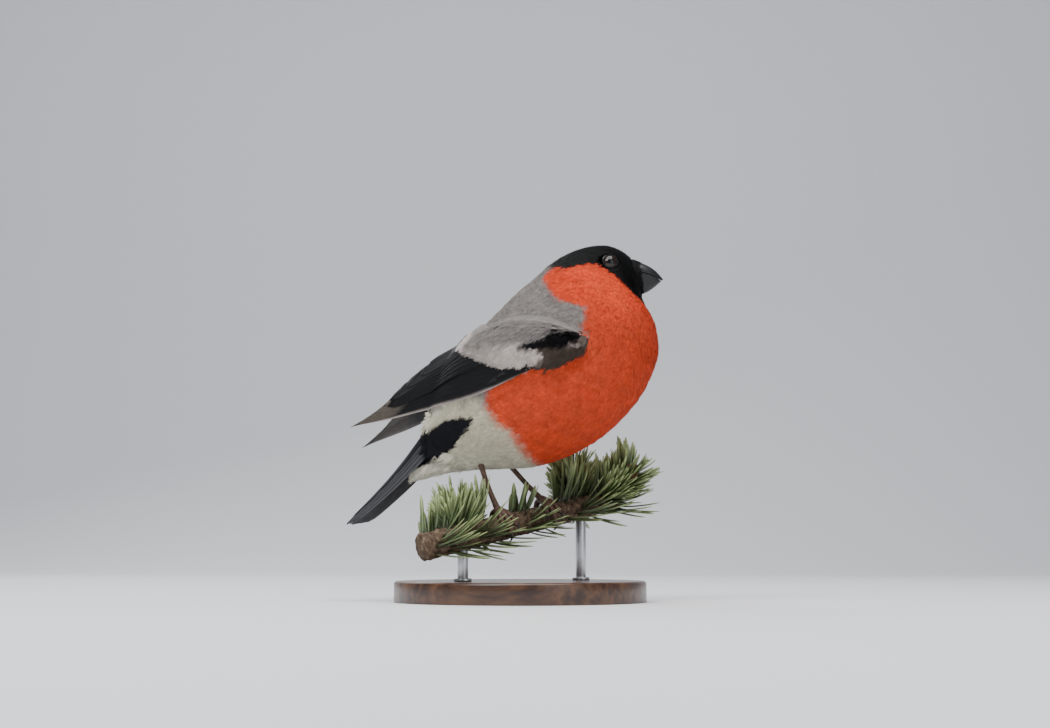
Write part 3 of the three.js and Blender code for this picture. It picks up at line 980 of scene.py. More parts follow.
@dataclass(frozen=True)
class Skin:
    """One skin over trunk, neck, head and shoulders, which lies inside them by the coat's depth."""

    markings: Markings
    frame: dict
    pads: Sequence[MeshData]

    def build(self, material: bpy.types.Material) -> bpy.types.Object:
        """Makes the skin, with a rounded face that closes it round the bill's base.

        Args:
            material: Its finish.

        Returns:
            The finished object.
        """
        work = bmesh.new()
        for node in ("torso", "neck", "head"):
            work.from_mesh(self.frame["nodes"][node].data)
        bmesh.ops.remove_doubles(work, verts=work.verts, dist=1e-6)
        for pad in self.pads:
            part = pad.mesh("pad")
            work.from_mesh(part)
            bpy.data.meshes.remove(part)
        place = Matrix.Translation(head_point(FACE_CENTRE) * MM) @ Matrix.Rotation(HEAD_TURN, 4, "Z")
        face = place @ Matrix.Diagonal((*FACE_SIZE, 1))
        bmesh.ops.create_uvsphere(work, u_segments=32, v_segments=24, radius=MM, matrix=face)
        skin = piece_of(work, "skin")
        apply_remesh(skin, SKIN_VOXEL)
        drop_pockets(skin.data)
        relax(skin.data, 6)
        place_vertices(skin.data, vertices_of(skin.data) - normals_of(skin.data) * COAT_DEPTH)
        # The skin takes the plumage's colours darkened by a fifth: painted shade under the coat.
        paint(skin.data, self.markings.colours(vertices_of(skin.data)) * 0.8)
        return show(skin, material, "feathers", "torso", "neck", "head")


def drop_pockets(mesh: bpy.types.Mesh) -> None:
    """Keeps a mesh's largest connected part, so that no closed pocket is left inside it.

    Args:
        mesh: The mesh to clean.
    """
    work = bmesh.new()
    work.from_mesh(mesh)
    waiting = set(work.verts)
    parts = []
    while waiting:
        part = {waiting.pop()}
        border = list(part)
        while border:
            vertex = border.pop()
            found = {edge.other_vert(vertex) for edge in vertex.link_edges} & waiting
            waiting -= found
            part |= found
            border += found
        parts.append(part)
    parts.sort(key=len)
    spare = [vertex for part in parts[:-1] for vertex in part]
    bmesh.ops.delete(work, geom=spare, context="VERTS")
    work.to_mesh(mesh)
    work.free()


def apply_remesh(made: bpy.types.Object, voxel: float) -> None:
    """Rebuilds an object's mesh as one even surface.

    Args:
        made: The object to rebuild.
        voxel: The new faces' size in millimetres.
    """
    change = made.modifiers.new("even", "REMESH")
    change.mode = "VOXEL"
    change.voxel_size = voxel * MM
    graph = bpy.context.evaluated_depsgraph_get()
    fresh = bpy.data.meshes.new_from_object(made.evaluated_get(graph))
    made.modifiers.clear()
    old = made.data
    name = old.name
    made.data = fresh
    bpy.data.meshes.remove(old)
    fresh.name = name


def relax(mesh: bpy.types.Mesh, times: int) -> None:
    """Smooths a mesh.

    Args:
        mesh: The mesh to smooth.
        times: How many passes.
    """
    work = bmesh.new()
    work.from_mesh(mesh)
    axes = {f"use_axis_{axis}": True for axis in "xyz"}
    for _ in range(times):
        bmesh.ops.smooth_vert(work, verts=work.verts, factor=0.5, **axes)
    work.to_mesh(mesh)
    work.free()


@dataclass(frozen=True)
class Tuft:
    """The shape of one small body feather: a short leaf whose end splits into pointed barbs."""

    blades: int = 5

    def plan(self) -> tuple[Array, Array, Array, Array, Array, Array]:
        """The tuft's corners and faces.

        Returns:
            The share along and across of each corner, its barb's number, how free it is, quads and triangles.
        """
        along = [0.0, 0.0, 0.3, 0.3, 0.62, 0.62]
        across = [-0.3, 0.3, -0.85, 0.85, -1.0, 1.0]
        barb = [-1] * 6
        free = [0.0] * 6
        quads = [(0, 2, 3, 1), (2, 4, 5, 3)]
        triangles = []
        neck = 0.32 / self.blades * 1.6
        for k in range(self.blades):
            left, right = -1 + 2 * k / self.blades, -1 + 2 * (k + 1) / self.blades
            middle = (left + right) / 2
            start = len(along)
            along += [0.56, 0.56, 0.82, 0.82, 1 - 0.16 * middle**2]
            across += [left, right, middle * 0.96 - neck, middle * 0.96 + neck, middle * 0.9]
            barb += [k] * 5
            free += [0.0, 0.0, 0.5, 0.5, 1.0]
            quads.append((start, start + 2, start + 3, start + 1))
            triangles.append((start + 2, start + 4, start + 3))
        return tuple(np.array(v) for v in (along, across, barb, free, quads, triangles))


@dataclass
class Roots:
    """Where small feathers grow: places, outward directions, lie, sizes, lift and unwrap, one row each."""

    places: Array
    normals: Array
    lies: Array
    lengths: Array
    widths: Array
    lifts: Array
    bends: Array
    unwraps: Array

    def pick(self, mask: Array) -> Roots:
        """Only the rows where the mask is true."""
        return Roots(*(getattr(self, name)[mask] for name in self.__dataclass_fields__))


class Coat:
    """Small feathers grown from roots as joined meshes."""

    def __init__(self, colour_of: Callable[[Array], Array], shape: Tuft, seed: int) -> None:
        """Keeps what the feathers share.

        Args:
            colour_of: Gives the colour at each place.
            shape: The shape of one feather.
            seed: Picks the random draws.
        """
        self.colour_of = colour_of
        self.shape = shape
        self.rng = np.random.default_rng(seed)

    def grow(self, roots: Roots) -> MeshData:
        """Makes one mesh of all the feathers.

        Args:
            roots: Where they grow.

        Returns:
            The mesh with colours and its unwrap.
        """
        along, across, barb, free, quads, triangles = self.shape.plan()
        count, corners = len(roots.places), len(along)
        rng = self.rng
        beside = unit(np.cross(roots.normals, roots.lies))
        reach = np.ones((count, corners))
        sway = np.zeros((count, corners))
        rise = np.zeros((count, corners))
        for k in range(self.shape.blades):
            mine = barb == k
            reach[:, mine] += free[mine] * rng.normal(0, 0.09, (count, 1))
            sway[:, mine] += free[mine] * rng.normal(0, 0.16, (count, 1))
            rise[:, mine] += free[mine] * rng.normal(0, 0.14, (count, 1))
        out = roots.lengths[:, None] * along * reach
        wide = roots.widths[:, None] / 2 * (across + sway)
        high = roots.lifts[:, None] * (0.12 + along**1.2 * 0.88) + rise * roots.widths[:, None] * 0.35
        high -= out**2 / (2 * roots.bends[:, None])
        high -= 0.1 * roots.widths[:, None] * across**2
        places = (
            roots.places[:, None, :]
            + out[:, :, None] * roots.lies[:, None, :]
            + wide[:, :, None] * beside[:, None, :]
            + high[:, :, None] * roots.normals[:, None, :]
        )
        seen = roots.places + roots.lies * roots.lengths[:, None] * 0.75
        tones = self.colour_of(seen) * rng.uniform(0.86, 1.12, (count, 1))
        # Each feather is darker at its root and a little lighter at its tip: painted shade where the feathers
        # overlap, and painted light on the tips.
        colours = tones[:, None, :] * (0.8 + 0.28 * along)[None, :, None]
        patch = np.stack([across * 0.0015, (along - 0.5) * 0.003], -1)
        unwrap = roots.unwraps[:, None, :] + patch[None]
        shift = (np.arange(count) * corners)[:, None, None]
        return MeshData(
            places.reshape(-1, 3),
            [(quads[None] + shift).reshape(-1, 4), (triangles[None] + shift).reshape(-1, 3)],
            colours.reshape(-1, 3),
            {"OFBake": unwrap.reshape(-1, 2)},
        )

    def pieces(self, name: str, roots: Roots, material: bpy.types.Material, slot: str) -> None:
        """Grows the feathers as pieces that each stay under the size limit.

        Args:
            name: The pieces' first name.
            roots: Where the feathers grow.
            material: Their finish.
            slot: The record's material slot.
        """
        each = 2 * 2 + 3 * self.shape.blades
        split = max(1, math.ceil(len(roots.places) * each / MAX_TRIANGLES))
        order = np.argsort(roots.unwraps[:, 0], kind="stable")
        for number, rows in enumerate(np.array_split(order, split)):
            mask = np.zeros(len(order), bool)
            mask[rows] = True
            title = f"{name}_{number + 1}"
            show(linked(title, self.grow(roots.pick(mask)).mesh(title)), material, slot)


def search_tree(places: Array) -> KDTree:
    """A search tree over places.

    Args:
        places: The places, whose row numbers the tree gives back.

    Returns:
        The tree.
    """
    tree = KDTree(len(places))
    for i, place in enumerate(places):
        tree.insert(place, i)
    tree.balance()
    return tree


def scatter(mesh: bpy.types.Mesh, spacing: Callable[[Array], Array], seed: int) -> tuple[Array, Array]:
    """Spreads points over a mesh, each no closer to its neighbours than the spacing there.

    Args:
        mesh: The surface, in metres.
        spacing: Gives the least distance in millimetres at each place.
        seed: Picks the spread.

    Returns:
        Places in millimetres and the outward directions there.
    """
    rng = np.random.default_rng(seed)
    mesh.calc_loop_triangles()
    corners = np.empty(len(mesh.loop_triangles) * 3, np.int32)
    mesh.loop_triangles.foreach_get("vertices", corners)
    corners = corners.reshape(-1, 3)
    points, normals = vertices_of(mesh), normals_of(mesh)
    a, b, c = (points[corners[:, k]] for k in range(3))
    area = np.linalg.norm(np.cross(b - a, c - a), axis=1) / 2
    least = spacing((a + b + c) / 3)
    weight = area / least**2
    wanted = int(weight.sum() * 3.2)
    chosen = rng.choice(len(area), wanted, p=weight / weight.sum())
    r, s = rng.random(wanted), rng.random(wanted)
    flip = r + s > 1
    r[flip], s[flip] = 1 - r[flip], 1 - s[flip]
    t = 1 - r - s
    places = a[chosen] * t[:, None] + b[chosen] * r[:, None] + c[chosen] * s[:, None]
    outward = [normals[corners[chosen, k]] for k in range(3)]
    outward = unit(outward[0] * t[:, None] + outward[1] * r[:, None] + outward[2] * s[:, None])
    gaps = least[chosen]
    tree = search_tree(places)
    alive = np.ones(wanted, bool)
    for i in range(wanted):
        if not alive[i]:
            continue
        for _, other, _ in tree.find_range(places[i], gaps[i]):
            if other > i:
                alive[other] = False
    return places[alive], outward[alive]


class WingShape:
    """A folded wing's surface, from the wrist to the tip and from its lower to its upper edge."""

    rows = 81
    columns = 53
    lowest = -0.15
    spread = 1.3

    def __init__(self, body: Body, side: Side) -> None:
        """Works out the surface, clear of the trunk.

        Args:
            body: The trunk, neck and head.
            side: The wing's side.
        """
        self.side = side
        sign = side.value
        self.curves = []
        for guide in (WING_LOWER, WING_UPPER):
            points = np.array(guide, float)
            if side is Side.LEFT:
                share = np.maximum(0, (DROOP_FROM - points[:, 0]) / (DROOP_FROM - WING_TIP))
                points[:, 2] -= FAR_WING_DROOP * share**0.85
                points[:, 1] *= -1
            fine = catmull(points, np.linspace(0, len(points) - 1, 400))
            run = np.r_[0, np.cumsum(np.linalg.norm(np.diff(fine, axis=0), axis=1))]
            self.curves.append((run / run[-1], fine))
        self.out = unit(np.array([-0.25, sign * 0.8, 0.55]))
        ups = np.linspace(self.lowest, 1.15, self.columns)
        along, up = np.meshgrid(np.linspace(0, 1, self.rows), ups, indexing="ij")
        self.grid = (along, up)
        flat = self.flat(along.ravel(), up.ravel())
        cleared = body.clear(flat, WING_CLEAR).reshape(*along.shape, 3)
        self.base = cleared
        forth = np.gradient(cleared, axis=0)
        over = np.gradient(cleared, axis=1)
        self.normals = unit(np.cross(over, forth) * -sign)
        self.overs = unit(over)

    def flat(self, along: Array, up: Array) -> Array:
        """The plain surface before it is moved clear of the trunk.

        Args:
            along: Shares from the wrist to the tip.
            up: Shares from the lower to the upper edge.

        Returns:
            Places in millimetres.
        """
        along = np.clip(along, 0, 1)
        lower, upper = (
            np.stack([np.interp(along, run, line[:, k]) for k in range(3)], -1) for run, line in self.curves
        )
        bulge = WING_BULGE * np.sin(math.pi * np.clip(up, 0, 1)) * (1 - along**2)
        return lower + (upper - lower) * up[:, None] + self.out * bulge[:, None]

    def sample(self, table: Array, along: Array, up: Array) -> Array:
        """Values from a table over the surface.

        Args:
            table: One of the surface's tables.
            along: Shares from the wrist to the tip.
            up: Shares from the lower to the upper edge.

        Returns:
            Mixed values.
        """
        u = np.clip(along, 0, 1) * (self.rows - 1)
        v = np.clip((up - self.lowest) / self.spread, 0, 1) * (self.columns - 1)
        i, j = np.minimum(u.astype(int), self.rows - 2), np.minimum(v.astype(int), self.columns - 2)
        p, q = (u - i)[:, None], (v - j)[:, None]
        lower = table[i, j] * (1 - p) + table[i + 1, j] * p
        upper = table[i, j + 1] * (1 - p) + table[i + 1, j + 1] * p
        return lower * (1 - q) + upper * q

    def pad_height(self, along: Array, up: Array) -> Array:
        """How thick the soft shoulder is over the wing's surface.

        Args:
            along: Shares from the wrist to the tip.
            up: Shares from the lower to the upper edge.

        Returns:
            Heights in millimetres.
        """
        edge = along_line(SOFT_LINE, along)
        over = smoothstep(edge - 0.02, edge + 0.06, up) * 2.3 + smoothstep(edge, edge + 0.3, up) * 0.9
        over = over * smoothstep(-0.12, 0.16, up) * (1 - smoothstep(0.6, 1.0, up))
        over = 0.3 + over * smoothstep(-0.03, 0.12, along) * (1 - smoothstep(0.52, 0.6, along))
        sunk = smoothstep(0.8, 1.0, up) + smoothstep(0.06, -0.02, along) + smoothstep(0.06, -0.06, up)
        return over - 1.7 * np.clip(sunk, 0, 1)

    def point(self, along: Array, up: Array, height: Array) -> Array:
        """Places at a height over the surface, in millimetres."""
        base = self.sample(self.base, along, up)
        return base + unit(self.sample(self.normals, along, up)) * np.asarray(height)[..., None]

    def pad(self) -> MeshData:
        """The soft shoulder as a closed solid.

        Returns:
            The mesh.
        """
        rows, columns = 60, 40
        along, up = np.meshgrid(np.linspace(0, 0.6, rows), np.linspace(-0.08, 1.06, columns), indexing="ij")
        along, up = along.ravel(), up.ravel()
        outer = self.point(along, up, self.pad_height(along, up) + 0.4)
        inner = self.point(along, up, np.full(len(along), -4.0))
        return closed_sheet(outer, inner, rows, columns)


def closed_sheet(outer: Array, inner: Array, rows: int, columns: int) -> MeshData:
    """A closed plate between two grids of the same size, its faces turned outwards.

    Args:
        outer: The outer face's corners, row by row.
        inner: The inner face's.
        rows: The number of rows.
        columns: The number in each row.

    Returns:
        The mesh.
    """
    index = np.arange(rows * columns).reshape(rows, columns)
    a, b, c, d = index[:-1, :-1], index[1:, :-1], index[1:, 1:], index[:-1, 1:]
    top = np.stack([a, b, c, d], -1).reshape(-1, 4)
    rim = np.concatenate([index[:-1, 0], index[-1, :-1], index[::-1, -1][:-1], index[0, ::-1][:-1]])
    following = np.roll(rim, -1)
    count = rows * columns
    bottom = top[:, ::-1] + count
    wall = np.stack([rim, rim + count, following + count, following], -1)
    faces = np.concatenate([top, bottom, wall])
    corners = np.concatenate([outer, inner])
    around = corners[faces] - corners.mean(0)
    volume = sum((around[:, 0] * np.cross(around[:, k], around[:, k + 1])).sum() for k in (1, 2))
    if volume < 0:
        faces = faces[:, ::-1]
    return MeshData(corners, [faces])


@dataclass(frozen=True)
class Feather:
    """One stiff feather: its margin's ends, its size, and how its colours run."""

    root: tuple[float, float]
    tip: tuple[float, float]
    width: float
    lift: float
    rounding: float = 0.25
    tone: Tone = Tone.BLACK
    tip_tone: Tone = Tone.BLACK
    tip_share: float = 0.0
    edge_tone: Tone | None = None


class FeatherMaker:
    """Turns stiff feathers into thin closed vanes with a raised shaft and a few splits."""

    rows = 26
    columns = np.array([0.0, 0.1, 0.22, 0.29, 0.33, 0.37, 0.5, 0.68, 0.84, 1.0])
    thickness = 0.16

    def __init__(self, seed: int) -> None:
        """Starts the random draws from a seed."""
        self.rng = np.random.default_rng(seed)

    def widths(self, along: Array, rounding: float) -> Array:
        """Shares of the feather's full width along it. The tip narrows over the share called rounding."""
        end = np.clip((along - (1 - rounding)) / rounding, 0, 1)
        return smoothstep(-0.3, 0.25, along) * np.sqrt(np.maximum(1 - end**2.2, 0.0009))

    def shape(self, feather: Feather, place: Callable[[Array, Array, Array], Array]) -> MeshData:
        """Makes one feather.

        Args:
            feather: What to make.
            place: Gives places from the share along, the distance across in millimetres and the height.

        Returns:
            The mesh with colours and its unwrap.
        """
        along, across = np.meshgrid(np.linspace(0, 1, self.rows), self.columns, indexing="ij")
        share = self.widths(along, feather.rounding)
        notch = np.zeros_like(along)
        for _ in range(self.rng.integers(1, 4)):
            at = self.rng.integers(int(self.rows * 0.55), self.rows - 2)
            notch[at] += self.rng.uniform(0.05, 0.16) * smoothstep(0.5, 1, across[at])
        wide = feather.width * share * np.clip(across - notch, 0, 1) + (1 - share) * feather.width * 0.4
        shaft = np.exp(-(((across - 0.33) / 0.03) ** 2)) * 0.13 * (1 - along * 0.7)
        camber = -0.22 * (across - 0.4) ** 2 * feather.width * 0.35
        height = feather.lift + shaft + camber
        outer = place(along.ravel(), wide.ravel(), height.ravel())
        thin = self.thickness * (1 - 0.5 * across)
        inner = place(along.ravel(), wide.ravel(), (height - shaft - thin).ravel())
        made = closed_sheet(outer, inner, self.rows, len(self.columns))
        count = along.size
        along, across = along.ravel(), across.ravel()
        tones = feather.tone.linear * (1 + 0.1 * (across - 0.5))[:, None]
        if feather.tip_share > 0:
            edge = along + 0.04 * np.abs(across - 0.33)
            ends = smoothstep(1 - feather.tip_share * 1.15, 1 - feather.tip_share * 0.85, edge)
            tones = blend(tones, feather.tip_tone.linear, ends)
        if feather.edge_tone is not None:
            rim = smoothstep(0.14, 0.02, across) * smoothstep(0.1, 0.3, along)
            tones = blend(tones, feather.edge_tone.linear, 0.85 * rim)
        tones *= self.rng.uniform(0.9, 1.1)
        under = blend(tones, Tone.UNDER.linear, np.full(count, 0.5))
        made.colours = np.concatenate([tones, under])
        place_on = np.stack([across - 0.33, along], -1)
        made.unwraps = {"Vane": np.concatenate([place_on, place_on])}
        return made


def merged(parts: Sequence[MeshData]) -> MeshData:
    """Several painted plates as one mesh.

    Args:
        parts: The plates, each with one table of faces.

    Returns:
        The joined mesh.
    """
    shift = np.cumsum([0] + [len(p.corners) for p in parts[:-1]])
    faces = [np.concatenate([p.faces[0] + s for p, s in zip(parts, shift)])]
    unwraps = {t: np.concatenate([p.unwraps[t] for p in parts]) for t in parts[0].unwraps}
    corners, colours = (np.concatenate([getattr(p, name) for p in parts]) for name in ("corners", "colours"))
    return MeshData(corners, faces, colours, unwraps)


@dataclass(frozen=True)
class Wing:
    """A folded wing's stiff feathers in their tiers."""

    shape: WingShape

    def tiers(self) -> list[Feather]:
        """Every stiff feather, the deepest first.

        Returns:
            The feathers.
        """
        reach = (0.965, 1, 0.985, 0.965, 0.94, 0.915, 0.89, 0.87)
        far = self.shape.side is Side.LEFT
        feathers = [
            Feather(
                (0.16, 0.04 * i),
                (reach[i], 0.03 + 0.1 * i),
                6.2,
                0.25 + 0.14 * i,
                0.2,
                tip_tone=Tone.TIP,
                tip_share=0.2,
                edge_tone=Tone.BAR if i == 0 or (far and i < 3) else None,
            )
            for i in range(8)
        ]
        feathers += [
            Feather(
                (0.15 + 0.05 * i, 0.3 + 0.06 * i),
                (0.85 - 0.008 * i, 0.4 + 0.075 * i),
                7.2,
                1.35 + 0.13 * i,
                0.16,
            )
            for i in range(6)
        ]
        feathers += [
            Feather((0.44, 0.6 + 0.05 * i), (0.84 - 0.07 * i, 0.7 + 0.05 * i), 7.4, 2.0 + 0.16 * i, 0.3)
            for i in range(3)
        ]
        feathers += [
            Feather((0.1, 0.03 + 0.03 * i), (0.4 - 0.035 * i, 0.02 + 0.03 * i), 3.6, 1.5 + 0.15 * i, 0.35)
            for i in range(3)
        ]
        edge = np.array(SOFT_LINE[2:9])
        for i, place in enumerate(np.linspace(0, len(edge) - 2.2, 9)):
            u, v = catmull(edge, np.array([place]))[0]
            feathers.append(
                Feather(
                    (u - 0.14, v + 0.04),
                    (u + 0.012, v - 0.01),
                    5.6,
                    2.1 + 0.06 * i,
                    0.45,
                    tone=Tone.GREY,
                    tip_tone=Tone.BAR,
                    tip_share=0.5,
                )
            )
        return feathers

    def build(self, material: bpy.types.Material) -> None:
        """Makes the wing.

        Args:
            material: Its finish.
        """
        side = self.shape.side
        maker = FeatherMaker(SEED + side.value)
        vanes = merged([maker.shape(feather, partial(self.place, feather)) for feather in self.tiers()])
        name = f"wing_feathers_{side.label}"
        show(linked(name, vanes.mesh(name)), material, "dark_feathers", f"wing_{side.label}")

    def place(self, feather: Feather, along: Array, wide: Array, height: Array) -> Array:
        """Places over the wing from a feather's own coordinates.

        Args:
            feather: The feather.
            along: Shares of its length.
            wide: Millimetres across it.
            height: Millimetres above the wing.

        Returns:
            Places in millimetres.
        """
        surface = self.shape
        (u0, v0), (u1, v1) = feather.root, feather.tip
        u, v = u0 + (u1 - u0) * along, v0 + (v1 - v0) * along
        upper = surface.sample(surface.base, u, np.ones_like(v))
        lower = surface.sample(surface.base, u, np.zeros_like(v))
        depth = np.linalg.norm(upper - lower, axis=1)
        limit = 0.98 + 0.14 * smoothstep(0.5, 0.6, u)
        rise = v + wide / np.maximum(depth, 7)
        spare = np.maximum(rise - limit, 0) * np.maximum(depth, 7) * 0.7 * smoothstep(0.48, 0.6, u)
        sunk = smoothstep(0.0, 0.15, along)
        high = height * sunk - 0.3 * (1 - sunk)
        base = surface.point(u, np.minimum(rise, limit), high)
        return base + surface.sample(surface.overs, u, np.ones_like(v)) * spare[:, None]


class Tail:
    """The tail's twelve feathers and the coverts over their roots."""

    along_way = np.array([-math.cos(TAIL_SLOPE), 0, -math.sin(TAIL_SLOPE)])
    up_way = np.array([-math.sin(TAIL_SLOPE), 0, math.cos(TAIL_SLOPE)])

    def half(self, share: Array) -> Array:
        """Half the tail's width at a share of its length, in millimetres."""
        return TAIL_HALF[0] + (TAIL_HALF[1] - TAIL_HALF[0]) * share

    def point(self, along: Array, side: Array, rise: Array) -> Array:
        """Places over the tail's arched top.

        Args:
            along: Millimetres from the root.
            side: Shares of the half width, to the right.
            rise: Millimetres above the arch.

        Returns:
            Places in millimetres.
        """
        share = np.clip(along / TAIL_LENGTH, 0, 1)
        half = self.half(share)
        arch = TAIL_ARCH[0] + (TAIL_ARCH[1] - TAIL_ARCH[0]) * share
        start = np.array([TAIL_ROOT[0], 0, TAIL_ROOT[1]])
        up = rise - TAIL_SAG * np.sin(math.pi * share) - arch * side**2
        places = start + self.along_way * along[:, None] + self.up_way * up[:, None]
        places[:, 1] = -side * half
        return places

    def vane(
        self, length: float, centre: float, hand: int, along: Array, wide: Array, height: Array
    ) -> Array:
        """Places over the tail from a long feather's own coordinates.

        Args:
            length: The feather's length from the root in millimetres.
            centre: Where it lies, as a share of the half width.
            hand: 1 for a feather on the right, -1 for one on the left.
            along: Shares of its length.
            wide: Millimetres across it.
            height: Millimetres above the tail.

        Returns:
            Places in millimetres.
        """
        reach = -4 + along * (length + 4)
        half = self.half(np.clip(reach / TAIL_LENGTH, 0, 1))
        return self.point(reach, centre + hand * (2.6 - wide) / half, height)

    def covert(self, row: int, column: int, along: Array, wide: Array, height: Array) -> Array:
        """Places over the tail's root from the own coordinates of the covert in a row and column."""
        reach = -6 - row * 1.5 + along * (17 - 4 * row)
        return self.point(reach, column * 0.3 + (wide - 3) / 7.5, height * smoothstep(0, 0.5, along) - 0.2)

    def build(self, material: bpy.types.Material) -> None:
        """Makes the tail.

        Args:
            material: Its finish.
        """
        maker = FeatherMaker(SEED + 40)
        parts = []
        for pair in reversed(range(6)):
            for hand in (-1, 1):
                length = TAIL_LENGTH - (2.5 if pair == 0 else 0) - (pair - 3 if pair > 3 else 0)
                centre = hand * (pair + 0.5) / 6 * 0.66
                lift = -0.22 * pair - (0.1 if hand > 0 else 0)
                feather = Feather((0, 0), (1, 0), 7.6, lift, 0.12, Tone.TAIL_GLOSS, edge_tone=Tone.UNDER)
                parts.append(maker.shape(feather, partial(self.vane, length, centre, hand)))
        for row in range(3):
            for column in range(-3, 4):
                lift = 0.5 + 0.3 * row + 0.05 * (column % 2)
                feather = Feather((0, 0), (1, 0), 6.0, lift, 0.4, tone=Tone.TAIL_GLOSS)
                parts.append(maker.shape(feather, partial(self.covert, row, column)))
        tail = linked("tail_feathers", merged(parts).mesh("tail_feathers"))
        show(tail, material, "dark_feathers", "tail")


def head_point(place: Sequence[float]) -> Vector:
    """A place on the straight head, turned with the head, in millimetres."""
    pivot = Matrix.Translation((NECK_PIVOT, 0, 0))
    return pivot @ Matrix.Rotation(HEAD_TURN, 4, "Z") @ pivot.inverted() @ Vector(place)


@dataclass(frozen=True)
class Eye:
    """One eye: a dark iris and pupil under a wet cornea, with a lid round it."""

    side: Side

    @property
    def centre(self) -> Vector:
        """The eyeball's middle in millimetres."""
        x, y, z = EYE_CENTRE
        return head_point((x, self.side.value * y, z))

    @property
    def gaze(self) -> Vector:
        """The way the eye faces."""
        x, y, z = EYE_GAZE
        return (Matrix.Rotation(HEAD_TURN, 3, "Z") @ Vector((x, self.side.value * y, z))).normalized()

    def build(self, ball: bpy.types.Material, lid: bpy.types.Material) -> None:
        """Makes the eyeball and the lid.

        Args:
            ball: The eyeball's finish.
            lid: The lid's.
        """
        spin = self.gaze.to_track_quat("Z", "Y").to_matrix().to_4x4()
        place = Matrix.Translation(self.centre * MM) @ spin
        work = bmesh.new()
        bmesh.ops.create_uvsphere(work, u_segments=48, v_segments=36, radius=EYE_RADIUS * MM)
        eye = piece_of(work, f"eyeball_{self.side.label}")
        angle = np.degrees(np.arccos(np.clip(vertices_of(eye.data)[:, 2] / EYE_RADIUS, -1, 1)))
        tones = blend(Tone.PUPIL.linear, Tone.IRIS.linear, smoothstep(27, 31, angle))
        tones = blend(tones, Tone.PUPIL.linear, smoothstep(50, 58, angle))
        eye.data.transform(place)
        paint(eye.data, tones)
        show(eye, ball, "eye", f"eye_{self.side.label}")
        self.lid(place, lid)

    def lid(self, place: Matrix, material: bpy.types.Material) -> None:
        """Makes the lid as a soft ring, a little wider at the back and flatter above.

        Args:
            place: The eyeball's place and turn.
            material: The lid's finish.
        """
        work = bmesh.new()
        ring = []
        for k in range(8):
            turn = 2 * math.pi * k / 8
            radius, high = 2.6 + 0.36 * math.cos(turn), 2.2 + 0.32 * math.sin(turn)
            ring.append(work.verts.new((radius * MM, 0, high * MM)))
        edges = [work.edges.new((ring[k], ring[(k + 1) % 8])) for k in range(8)]
        round_gaze = {"cent": (0, 0, 0), "axis": (0, 0, 1), "angle": 2 * math.pi, "steps": 40}
        bmesh.ops.spin(work, geom=ring + edges, use_merge=True, **round_gaze)
        bmesh.ops.recalc_face_normals(work, faces=work.faces)
        lid = piece_of(work, f"eyelid_{self.side.label}")
        local = vertices_of(lid.data)
        turn = np.arctan2(local[:, 1], local[:, 0])
        local[:, 2] += 0.024 * np.cos(9 * turn)
        local[:, :2] *= (1 + 0.05 * np.cos(2 * turn))[:, None]
        place_vertices(lid.data, local)
        lid.data.transform(place)
        paint(lid.data, np.tile(Tone.LID.linear, (len(local), 1)))
        show(lid, material, "cap_feathers")


@dataclass(frozen=True)
class Bill:
    """The two halves of the bill, made finer and rounder than the solids."""

    frame: dict

    def build(self, material: bpy.types.Material) -> None:
        """Makes both halves.

        Args:
            material: Their finish.
        """
        for half in ("upper", "lower"):
            made = linked(f"bill_{half}_horn", self.frame["nodes"][f"bill_{half}"].data.copy())
            apply_remesh(made, BILL_VOXEL)
            relax(made.data, 5)
            show(made, material, "bill", f"bill_{half}")


class Perch:
    """The branch's own coordinates: along it, round it and out from its middle line."""

    def __init__(self) -> None:
        """Works out the branch's own directions."""
        turn, rise = PERCH_TURN, PERCH_RISE
        level = math.cos(rise)
        self.along = np.array([math.cos(turn) * level, math.sin(turn) * level, math.sin(rise)])
        self.across = -unit(np.cross([0, 0, 1], self.along))
        self.up = unit(np.cross(self.along, self.across))
        if self.up[2] < 0:
            self.up = -self.up
        self.centre = np.array(PERCH_CENTRE)

    def point(self, along: Array, angle: Array, out: Array) -> Array:
        """Places round the branch.

        Args:
            along: Millimetres from its middle.
            angle: Radians from the top towards the bird's front.
            out: Millimetres from the middle line.

        Returns:
            Places in millimetres.
        """
        along, angle, out = np.broadcast_arrays(*(np.asarray(v, float) for v in (along, angle, out)))
        return (
            self.centre
            + along[..., None] * self.along
            + (np.sin(angle) * out)[..., None] * self.across
            + (np.cos(angle) * out)[..., None] * self.up
        )


def tube(path: Array, radii: Array, around: int = 16, ripple: Array | None = None) -> bmesh.types.BMesh:
    """A closed round limb along a path, made from a cylinder whose rings are moved.

    Args:
        path: The middle line, evenly spaced.
        radii: The radius at each point of it.
        around: The number of sides.
        ripple: Shares added to the radius, one row for each point and one column for each side.

    Returns:
        The limb in metres.
    """
    steps = len(path)
    tangent = unit(np.gradient(path, axis=0))
    side = np.cross(tangent[0], [0.13, 0.31, 0.94])
    work = bmesh.new()
    rings = []
    for k in range(steps):
        side = side - tangent[k] * (side @ tangent[k])
        side = side / np.linalg.norm(side)
        other = np.cross(tangent[k], side)
        turns = np.linspace(0, 2 * math.pi, around, endpoint=False)
        reach = radii[k] * (1 + (ripple[k] if ripple is not None else 0)) * np.ones(around)
        ring = path[k] + (np.cos(turns) * reach)[:, None] * side + (np.sin(turns) * reach)[:, None] * other
        rings.append([work.verts.new(p * MM) for p in ring])
    for first, second in zip(rings, rings[1:]):
        for k in range(around):
            after = (k + 1) % around
            work.faces.new((first[k], first[after], second[after], second[k]))
    work.faces.new(rings[0][::-1])
    work.faces.new(rings[-1])
    bmesh.ops.recalc_face_normals(work, faces=work.faces)
    return work


